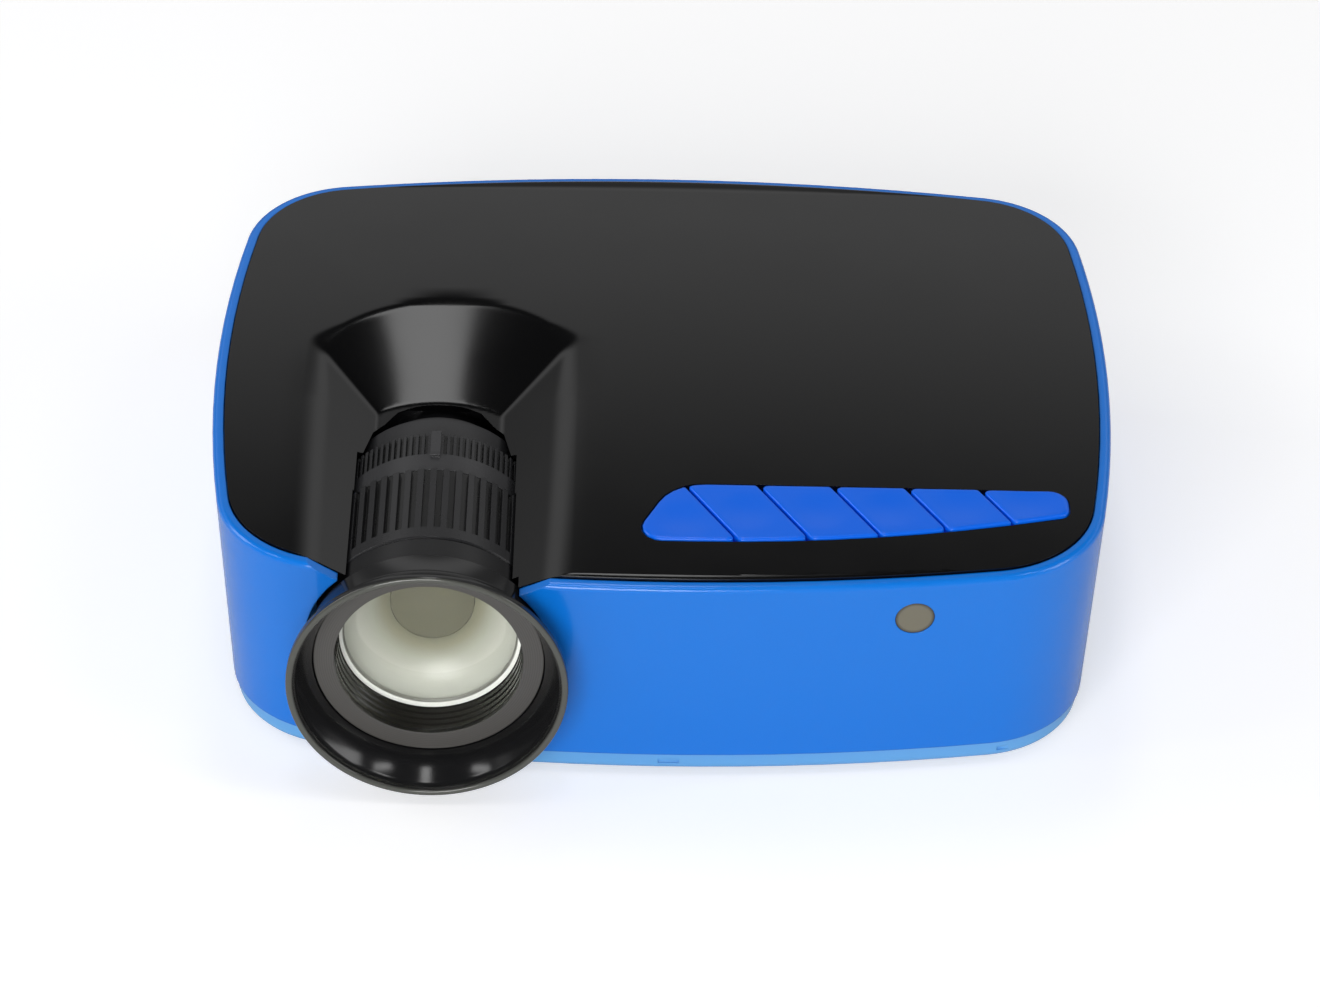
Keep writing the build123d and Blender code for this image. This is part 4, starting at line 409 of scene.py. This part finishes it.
# The front glass: a polished lens, flat behind and domed in front. Behind it the barrel is lined with a pale
# moulded bowl that ends in the next glass. The olive of that glass and of the bowl's middle is a painted
# reflection, and the bowl's rim carries a painted shade line and a painted highlight.
def closed_rows(name, *grids, round_way=False):
    """Grids of rows joined round, each closed at its ends by a flat face, or by joining its last
    row to its first, all in one mesh with its faces turned outwards. Millimetres in, metres out."""
    points, faces, start = [], [], 0
    for grid in grids:
        rows, columns = grid.shape[:2]
        i, j = np.meshgrid(np.arange(rows if round_way else rows - 1), np.arange(columns), indexing="ij")
        down, over = (i + 1) % rows, (j + 1) % columns
        quads = np.stack([i * columns + j, i * columns + over, down * columns + over, down * columns + j],
                         axis=-1).reshape(-1, 4) + start
        faces += quads.tolist()
        if not round_way:
            faces += [list(range(start, start + columns))[::-1],
                      list(range(start + (rows - 1) * columns, start + rows * columns))]
        points.append(grid.reshape(-1, 3))
        start += rows * columns
    mesh = bpy.data.meshes.new(name)
    mesh.from_pydata((np.concatenate(points) / 1000).tolist(), [], faces)
    work = bmesh.new()
    work.from_mesh(mesh)
    bmesh.ops.remove_doubles(work, verts=work.verts, dist=1e-7)
    bmesh.ops.recalc_face_normals(work, faces=work.faces)
    work.to_mesh(mesh)
    work.free()
    made = bpy.data.objects.new(name, mesh)
    bpy.context.scene.collection.objects.link(made)
    return made


def revolved(name, profile, count=192):
    """A closed profile of (y, radius) rows turned about the lens axis: each row becomes a circle, and
    the last row joins the first."""
    angle = np.linspace(0, 2 * math.pi, count, endpoint=False)
    y, r = np.asarray(profile, float).T[:, :, None]
    x, z = lens_x + r * np.cos(angle), lens_z + r * np.sin(angle)
    return closed_rows(name, np.stack([x, np.broadcast_to(y, x.shape), z], axis=-1), round_way=True)


def domed(front_y, ball_r, edge_r, count):
    """Profile rows of a lens face: a stretch of a ball's outline, from the axis out to its edge."""
    r = np.linspace(0, edge_r, count)
    return np.stack([front_y + ball_r - np.sqrt(ball_r ** 2 - r ** 2), r], axis=-1)


def shaded(piece, material, sharp):
    """Gives a new piece its material and smooth shading, with edges sharper than an angle kept."""
    piece.data.materials.append(material)
    piece.data.shade_smooth()
    piece.data.set_sharp_from_angle(angle=math.radians(sharp))


front_glass = revolved("front_glass", [*domed(-66.85, 61.54, 20.6, 28), (-63.0, 20.7), (-62.0, 20.7),
                                       (-62.0, 14.0), (-62.0, 7.0), (-62.0, 0)])
polished_glass, t, body, where = finish_of("polished_front_glass", "#F8F9F8", 0.03, 0.5, 0.0, spread=0.02,
                                           edge_mm=0.05, ior=1.5)
body.inputs["Transmission Weight"].default_value = 1.0
shaded(front_glass, polished_glass, 30)
front_glass.visible_shadow = False
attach(front_glass, "lens_barrel")
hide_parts("front_lens")

# The bowl's wall follows an ellipse, from its flange in to the second glass.
a = np.linspace(0, math.radians(64), 24)
wall = np.stack([-61.3 + 9.3 * np.sin(a), 18.2 * np.cos(a)], axis=-1)
bowl = revolved("glass_bowl", [(-61.95, 20.7), (-61.95, 18.75), (-61.5, 18.55), *wall, (-52.3, 7.97),
                               *(wall[::-1] + [0.55, 0.28])[:-1], (-61.05, 18.55), (-61.55, 18.8),
                               (-61.55, 20.7)])
second = revolved("second_glass", [*domed(-53.7, 40.0, 7.9, 14), (-52.2, 7.9), (-52.2, 4.0), (-52.2, 0)])
pale_bowl, t, body, where = finish_of("pale_bowl_painted_light", "#ECEEE6", 0.3, 0.6, 0.004, edge_mm=0.1)
away = from_axis(t, where, lens_x, lens_z)
share = add(t, "ShaderNodeMapRange", {"From Max": 0.021}, {"Value": (away, "Value")})
zones = add(t, "ShaderNodeValToRGB", links={"Fac": (share, "Result")})
ramp = zones.color_ramp.elements
# The bowl's colour by distance from the axis: olive in the middle, fading to pale, is a painted reflection of
# the second glass; a thin dark ring from 18.2 to 18.7 mm is painted shade in the groove; near white beyond
# 18.9 mm is a painted highlight of the glass's lit edge.
ramp[0].position, ramp[0].color = 0.37, linear("#6A684F")
ramp[1].position, ramp[1].color = 0.90, linear("#F6F6F0")
for height, tint in ((0.46, "#85846D"), (0.57, "#A5A697"), (0.70, "#BCBDB1"), (0.860, "#BDBFB5"),
                     (0.868, "#75756D"), (0.888, "#75756D")):
    ramp.new(height).color = linear(tint)
t.links.new(zones.outputs[0], body.inputs["Base Color"])
# The second glass is painted olive: a painted reflection.
olive_glass, *_ = finish_of("olive_painted_reflection_glass", "#62604A", 0.3, 0.6, 0.0, spread=0.04)
for piece, material in ((bowl, pale_bowl), (second, olive_glass)):
    shaded(piece, material, 35)
    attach(piece, "lens_barrel")

# The collar: a smooth sleeve of the same ABS with a rounded rear edge, pressed on the tube behind
# the rings. It is open for 60 degrees at the bottom, where the push rod passes.
a = np.linspace(0, math.pi / 2, 8)
rear_edge = np.stack([-14.2 + 1.2 * np.sin(a), 20.4 + 1.2 * np.cos(a)], axis=-1)
y, r = np.array([(-22.1, 17.9), (-22.1, 21.3), (-21.8, 21.6), *rear_edge, (-12.9, 18.6), (-9.0, 18.2),
                 (-9.0, 17.9)]).T
angle = np.linspace(math.radians(-60), math.radians(240), 160)[:, None]
x, z = lens_x + r * np.cos(angle), lens_z + r * np.sin(angle)
collar = closed_rows("barrel_collar", np.stack([x, np.broadcast_to(y, x.shape), z], axis=-1))
collar_abs, *_ = finish_of("smooth_collar_abs", "#2B2B2D", 0.32, 0.3, 0.003, spread=0.04, edge_mm=0.1)
shaded(collar, collar_abs, 30)
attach(collar, "casing")

# The hood: a thin flared shroud of the same ABS, pressed on the barrel. Its lip is rolled and painted paler,
# a painted sheen; its cone is glossy inside and its skirt grips the barrel.
a = np.linspace(math.radians(-25), math.radians(200), 14)
lip = np.stack([-80.75 - 0.74 * np.sin(a), 29.5 + 0.78 * np.cos(a)], axis=-1)
q = np.linspace(0, 1, 12)
outside = np.stack([-79.3 + 5.6 * q, 26.45 + 3.3 * (1 - q) ** 1.35], axis=-1)
inside = np.stack([-72.15 - 7.2 * q, 25.02 + 3.45 * q ** 1.45], axis=-1)
skirt = [(-73.4, 26.4), (-68.5, 26.4), (-68.2, 26.1), (-68.2, 25.05), (-71.8, 25.05)]
hood = revolved("flared_hood", [*lip[::-1], (-79.6, 30.25), *outside, *skirt, *inside])
hood_abs, t, body, where = finish_of("black_hood_abs", "#1A1A1B", 0.15, 0.3, 0.002, spread=0.03, edge_mm=0.1)
# The lip, from Y -80.8 mm forward, is painted pale grey: a painted sheen.
place = add(t, "ShaderNodeSeparateXYZ", links={0: (where, "Object")})
cutter_rings_and_painted_sheen = add(t, "ShaderNodeMapRange", {"From Min": -0.0808, "From Max": -0.0814}, {"Value": (place, "Y")})
two = add(t, "ShaderNodeMix", {"data_type": "RGBA", 6: linear("#1A1A1B"), 7: linear("#565752")},
          {0: (cutter_rings_and_painted_sheen, "Result")})
t.links.new(two.outputs[2], body.inputs["Base Color"])
shaded(hood, hood_abs, 28)
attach(hood, "lens_barrel")
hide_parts("lens_hood")

# The walls: one deep frame of glossy blue ABS, moulded in a polished tool, with its vents, its
# fan grille and the port window at the back. The black port panel clips in from inside.
blue_abs, *_ = finish_of("blue_gloss_abs", "#0A7BE4", 0.2, coat=0.2, spread=0.03, edge_mm=0.5, ior=1.46)
dress(blue_abs, "housing")
dress(matt_abs, "port_panel")

# The top cover: black ABS with a satin gloss, moulded in one piece. It is crowned like a very flat
# dome, and a trough with a funnel-shaped rear end is sunk into it for the lens barrel.
black_abs, *_ = finish_of("black_satin_abs", "#080809", 0.13, 0.3, 0.0012, spread=0.02, edge_mm=0.08)


def casing_outline(count):
    """Points and outward normals round the casing's plan, evenly spaced. Front, side and back are
    arcs of known bow, and each corner is a circle that touches two of them from inside. The right
    half is walked from front to back, and the left half mirrors it."""
    front_r, side_r, back_r = [(half ** 2 + bow ** 2) / (2 * bow)
                               for half, bow in ((93.0, 9.4), (68.6, 7.0), (93.0, 8.4))]
    front_c, side_c, back_c = [np.array(c) for c in ((0, front_r - 77.5), (100 - side_r, 0.5),
                                                     (0, 77.5 - back_r))]
    front_corner_r, back_corner_r, middle_y = 27.8, 25.2, 4.0

    def corner_centre(end_c, end_r, corner, way):
        apart = end_c - side_c
        gap = np.hypot(*apart)
        along = ((side_r - corner) ** 2 - (end_r - corner) ** 2 + gap ** 2) / (2 * gap)
        away = math.sqrt((side_r - corner) ** 2 - along ** 2)
        unit = apart / gap
        found = [side_c + along * unit + side * away * np.array([-unit[1], unit[0]]) for side in (-1, 1)]
        return max(found, key=lambda p: way * p[1] + p[0])

    low_c = corner_centre(front_c, front_r, front_corner_r, -1)
    high_c = corner_centre(back_c, back_r, back_corner_r, 1)
    turns = [-math.pi / 2] + [math.atan2(*(b - a)[::-1]) for a, b in
                              ((front_c, low_c), (side_c, low_c), (side_c, high_c), (back_c, high_c))]
    turns.append(math.pi / 2)
    centres = np.array([front_c, low_c, side_c, high_c, back_c])
    radii = np.array([front_r, front_corner_r, side_r, back_corner_r, back_r])
    lengths = np.concatenate([[0], (radii * np.diff(turns)).cumsum()])
    s = np.linspace(0, lengths[-1], count // 2 + 1)
    k = np.clip(np.searchsorted(lengths, s, side="right") - 1, 0, 4)
    angle = np.array(turns)[k] + (s - lengths[k]) / radii[k]
    normal = np.stack([np.cos(angle), np.sin(angle)], axis=-1)
    half = centres[k] + radii[k][:, None] * normal
    points = np.concatenate([half, (half * [-1, 1])[-2:0:-1]])
    return points + [0, middle_y], np.concatenate([normal, (normal * [-1, 1])[-2:0:-1]])


def carried(profile, outline, normals):
    """A profile of (inset, height) rows carried round an outline: each row is the outline moved
    inwards by its inset, at its height."""
    inset, height = np.asarray(profile, float).T
    plan = outline[None] - normals[None] * inset[:, None, None]
    return np.concatenate([plan, np.broadcast_to(height[:, None, None], (*plan.shape[:2], 1))], axis=-1)


def lifted(outline, low, high, across="z"):
    """Two rows of one outline, at low and at high along Z, or along Y."""
    level = np.broadcast_to(np.array([low, high], float)[:, None], (2, len(outline)))
    a, b = [np.broadcast_to(c, level.shape) for c in np.asarray(outline, float).T]
    return np.stack((a, b, level) if across == "z" else (a, level, b), axis=-1)


def prism(name, *measures):
    """A closed prism: an outline lifted from low to high along one axis."""
    return closed_rows(name, lifted(*measures))


def disc(radius, across, along, count):
    """Points of a circle about a middle."""
    angle = np.linspace(0, 2 * math.pi, count, endpoint=False)
    return np.stack([across + radius * np.cos(angle), along + radius * np.sin(angle)], axis=-1)


def trimmed(piece, takes=(), keeps=(), joins=(), sharp=30.0):
    """Joins tools to a piece, keeps only what lies in some, takes others out, and drops the tools."""
    for tool, way in ([(c, "UNION") for c in joins] + [(c, "INTERSECT") for c in keeps]
                      + [(c, "DIFFERENCE") for c in takes]):
        step = piece.modifiers.new("cut", "BOOLEAN")
        step.operation, step.solver, step.object = way, "MANIFOLD", tool
    bpy.context.view_layer.update()
    mesh = bpy.data.meshes.new_from_object(piece.evaluated_get(bpy.context.evaluated_depsgraph_get()))
    piece.modifiers.clear()
    piece.data = mesh
    for tool in (*joins, *keeps, *takes):
        bpy.data.objects.remove(tool)
    mesh.shade_smooth()
    mesh.set_sharp_from_angle(angle=math.radians(sharp))
    return piece


def eased(corners, radius, least=14.0, steps=6):
    """Rounds the corners of a closed outline that turn by more than least degrees: each becomes an
    arc of the radius, written as a rational quadratic curve between its two tangent points."""
    p = np.asarray(corners, float)
    r = np.broadcast_to(np.asarray(radius, float), len(p))
    back_way, on_way = np.roll(p, 1, axis=0) - p, np.roll(p, -1, axis=0) - p
    back_len, on_len = np.hypot(*back_way.T), np.hypot(*on_way.T)
    u, v = back_way / back_len[:, None], on_way / on_len[:, None]
    turn = math.pi - np.arccos(np.clip((u * v).sum(axis=-1), -1, 1))
    reach = np.minimum(r * np.tan(turn / 2), 0.48 * np.minimum(back_len, on_len))[:, None]
    q = np.linspace(0, 1, steps)[None, :, None]
    w = np.cos(turn / 2)[:, None, None]
    curve = (((1 - q) ** 2 * (p + u * reach)[:, None] + 2 * w * q * (1 - q) * p[:, None]
              + q ** 2 * (p + v * reach)[:, None]) / ((1 - q) ** 2 + 2 * w * q * (1 - q) + q ** 2))
    bends = np.degrees(turn) > least
    curve[~bends] = p[~bends][:, None]
    keep = np.ones(curve.shape[:2], bool)
    keep[~bends, 1:] = False
    return curve[keep]


strip_back_y = -38.4


def key_strip(grow):
    """Outline of the key strip, grown all round: a straight back edge, a front edge that rises as
    the square of its length, a round left end and a narrow right end."""
    low_y, left_x, right_x, start_x, length, rise = -58.0, -6.5, 88.4, 8.0, 76.5, 10.3
    share = np.linspace(0, 1, 9)
    front = np.stack([start_x + length * share, low_y + rise * share ** 2], axis=-1)
    behind = [[right_x, low_y + rise + 1.0], [right_x, strip_back_y], [2.5, strip_back_y]]
    corners = np.concatenate([[[left_x, low_y]], front, behind])
    before, after = corners - np.roll(corners, 1, axis=0), np.roll(corners, -1, axis=0) - corners
    sides = [np.stack([d[:, 1], -d[:, 0]], axis=-1) / np.hypot(*d.T)[:, None] for d in (before, after)]
    reach = grow / (1 + (sides[0] * sides[1]).sum(axis=-1))
    moved = corners + reach[:, None] * (sides[0] + sides[1])
    return eased(moved, np.array([5.5] + [1.0] * 9 + [4.0, 5.0, 11.0]) + grow)


def trough_share(across, y):
    """How deep the trough lies, as a share of its depth, and how far a place belongs to a side wall.
    The side walls slope evenly. The rear end is an arc at each depth, so its share is found by
    halving until the arc passes through the place. The smaller counts, with a narrow roll between."""
    top_half, wall_run, top_y, floor_run, top_sag, sag_loss, roll = 26.0, 12.225, 23.2, 24.2, 13.9, 9.9, 0.07
    side = (top_half - np.abs(across)) / wall_run
    low, high = np.full(across.shape, -0.6), np.full(across.shape, 1.6)
    for _ in range(26):
        share = (low + high) / 2
        half, sag = np.maximum(top_half - wall_run * share, 4.0), np.maximum(top_sag - sag_loss * share, 0.8)
        radius = (half ** 2 + sag ** 2) / (2 * sag)
        arc = top_y - floor_run * share - radius + np.sqrt(np.maximum(radius ** 2 - across ** 2, 1.0))
        low, high = np.where(arc > y, share, low), np.where(arc > y, high, share)
    near = np.clip(0.5 + 0.5 * (share - side) / roll, 0, 1)
    least = share + (side - share) * near - roll * near * (1 - near)
    return least, np.clip(0.5 + 0.5 * (share - side) / 0.45, 0, 1)


# The shell is a height field: a ball's cap of 5.2 m radius, 1.5 mm proud of the rim, with the trough
# sunk into it. Its underside lies one wall lower, and deeper beside the rings. The edge of the
# trough is rolled wide along its side walls and narrow round its rear end.
rim_z, crown_rise, crown_r, middle_y = 55.5, 1.5, 5200, 4
trough_depth, wall, block_half, block_back, block_z = 5.7, 1.9, 21.6, -8.2, 42.5
x = np.concatenate([np.arange(-102, -81, 3.0), np.arange(-80, -18, 0.62), np.arange(-16, 103, 4.0)])
y = np.concatenate([np.arange(-76, 28, 0.8), np.arange(30, 88, 4.0)])
gx, gy = np.meshgrid(x, y, indexing="ij")
crown = rim_z + crown_rise - crown_r + np.sqrt(crown_r ** 2 - gx ** 2 - (gy - middle_y) ** 2)
share, beside = trough_share(gx - lens_x, gy)
trough = rim_z - trough_depth * (share - np.maximum(share - 1, 0))
roll = 0.25 + 1.5 * beside
near = np.clip(0.5 + 0.5 * (crown - trough) / roll, 0, 1)
top = crown + (trough - crown) * near - roll * near * (1 - near)
blocked = (np.abs(gx - lens_x) < block_half) & (gy < block_back)
low = np.where(blocked, block_z, np.minimum(top, crown) - wall)
grid = np.stack([np.stack([gx, gy, z], axis=-1) for z in (top, low)])
sheet = np.concatenate([grid[0, :, :, None], grid[1, :, ::-1, None]], axis=1)[:, :, 0]
top_cover = closed_rows("top_cover_shell", sheet)

# The casing's outline trims the shell, with a small round on its edge. The way for the barrel, the
# wider way for the hood's skirt and the pocket that narrows behind the rings are cut out of it.
a = np.linspace(0, math.radians(64), 7)
edge = [(2.8, 40.0), *np.stack([2.8 + 0.16 * (1 - np.cos(a)), 56.0 + 0.16 * np.sin(a)], axis=-1), (5.2, 57.2),
        (5.2, 62.0)]
slot = prism("slot", key_strip(0.3), 50, 62)
barrel_way = prism("barrel_way", disc(25.6, lens_x, lens_z, 256), -90, -35.8, "y")
hood_way = prism("hood_way", disc(27.0, lens_x, lens_z, 256), -90, -66.0, "y")
ring_way = revolved("ring_way", [(-35.9, 0), (-35.9, 25.3), (-22.0, 25.3), (-21.6, 24.0), (-13.0, 22.2),
                                 (-9.6, 20.4), (-5.0, 18.9), (-2.6, 17.2), (-1.7, 16.3), (-1.7, 0)])
trimmed(top_cover, keeps=[closed_rows("edge", carried(edge, *casing_outline(640)))],
        takes=[slot, barrel_way, hood_way, ring_way])

# Four posts hang under the shell, and the case's screws come up into their bores.
post_places = ((-85, -34), (85, -34), (-84, 51), (84, 51))
trimmed(top_cover, joins=[prism("post", disc(3.6, px, py, 40), 22.0, 54.9) for px, py in post_places],
        takes=[prism("bore", disc(1.51, px, py, 24), 20.0, 50.0) for px, py in post_places])
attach(top_cover, "casing")
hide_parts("top_cover")
top_cover.data.materials.clear()
top_cover.data.materials.append(black_abs)


# The six keys: blue ABS, moulded as slanted slices of one strip, each with a soft dish for the
# finger, a flange that holds it under the cover, and a stem that presses its switch.
def clipped(outline, through, along):
    """The part of a convex outline on the left of a line: its own points there, with the two
    crossings put in by order along the outline."""
    side = along[0] * (outline[:, 1] - through[1]) - along[1] * (outline[:, 0] - through[0])
    after = np.roll(side, -1)
    crosses = np.nonzero(side * after < 0)[0]
    share = side[crosses] / (side[crosses] - after[crosses])
    between = outline[crosses] + share[:, None] * (np.roll(outline, -1, axis=0)[crosses] - outline[crosses])
    inside = np.nonzero(side >= 0)[0]
    order = np.argsort(np.concatenate([inside, crosses + share]))
    return np.concatenate([outline[inside], between])[order]


first_slit, pitch, lean_of_slits = 4.9, 16.1, math.tan(math.radians(31))


def slice_of(index, grow, half_slit):
    """One key's slice of the strip: the strip's outline, clipped on both sides by slits that lean
    31 degrees and stand one pitch apart. The outer two lines lie past the strip's ends."""
    slits = [-46.5, *(first_slit + pitch * np.arange(5)), 130.0]
    left, right = slits[index] + half_slit, slits[index + 1] - half_slit
    cell = clipped(key_strip(grow), (left, strip_back_y), (lean_of_slits, -1.0))
    return clipped(cell, (right, strip_back_y), (-lean_of_slits, 1.0))


def resampled(outline, count):
    """An outline walked at an even pace: count points, equally far apart along it."""
    ring = np.concatenate([outline, outline[:1]])
    walked = np.concatenate([[0], np.hypot(*np.diff(ring, axis=0).T).cumsum()])
    at = np.linspace(0, walked[-1], count, endpoint=False)
    return np.stack([np.interp(at, walked, ring[:, k]) for k in (0, 1)], axis=-1)


def cap_rows(outline, low, high, bevel=0.5, dish=0.14, reach=7.2, rings=26):
    """A key cap as rings of one outline: straight up, round the edge in a quarter circle, then in
    towards the middle. Its top sinks by dish times (1 - (d / reach)^2)^2 at d from the middle."""
    middle = outline.mean(axis=0)
    arm = outline - middle
    size = np.hypot(*arm.T).min()
    q = np.linspace(0, math.pi / 2, 6)
    scale = np.concatenate([[1, 1], 1 - bevel / size * (1 - np.cos(q[1:])),
                            (1 - bevel / size) * np.linspace(0.97, 0.01, rings)])
    rise = np.concatenate([[low, high - bevel], high - bevel + bevel * np.sin(q[1:]), np.full(rings, high)])
    plan = middle + arm[None] * scale[:, None, None]
    sunk = dish * np.clip(1 - ((plan - middle) ** 2).sum(axis=-1) / reach ** 2, 0, 1) ** 2
    return np.concatenate([plan, (rise[:, None] - sunk * (scale < 0.99)[:, None])[:, :, None]], axis=-1)


key_abs, *_ = finish_of("blue_key_abs", "#056CF6", 0.24, 0.3, 0.002, spread=0.03, edge_mm=0.15, ior=1.46)
stems = [(4.0, -49.9), *((first_slit + pitch * (i - 0.5) + lean_of_slits * 8, -46.4) for i in range(1, 5)),
         (78.5, -44.9)]
for index, key in enumerate(("power", "source", "menu", "back", "minus", "plus")):
    stem_x, stem_y = stems[index]
    high = 57.1 - 0.5 * (stem_x / 93) ** 2
    cap = cap_rows(resampled(eased(slice_of(index, 0.0, 0.4), 0.9, least=30.0), 120), 53.9, high)
    flange = lifted(resampled(slice_of(index, 1.2, 0.2), 120), 53.8, 54.75)
    stem = lifted(disc(1.7, stem_x, stem_y, 32), 50.5, 54.0)
    piece = closed_rows(f"{key}_key", cap, flange, stem)
    shaded(piece, key_abs, 35)
    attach(piece, f"{key}_key")
    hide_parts(f"{key}_button")

# The receiver window: a plug of smoked, olive-grey resin that lets infrared through, pressed into
# the front wall and darker at its rim. The receiver behind it is cast in black epoxy.
window_x, window_z = 54.7, 45.7
window_resin, t, body, where = finish_of("smoked_olive_resin", "#77735F", 0.16, 0.5, 0.0, spread=0.04,
                                         edge_mm=0.3, coat=0.4)
away = from_axis(t, where, window_x, window_z)
rimmed = add(t, "ShaderNodeMapRange", {"From Min": 0.0034, "From Max": 0.0042}, {"Value": (away, "Value")})
tints = add(t, "ShaderNodeMix", {"data_type": "RGBA", 6: linear("#777260"), 7: linear("#35342C")},
            {0: (rimmed, "Result")})
t.links.new(tints.outputs[2], body.inputs["Base Color"])
dress(window_resin, "ir_window")
epoxy, *_ = finish_of("black_epoxy", "#141318", 0.12, 0.4, 0.002, coat=0.5)
dress(epoxy, "ir_receiver")
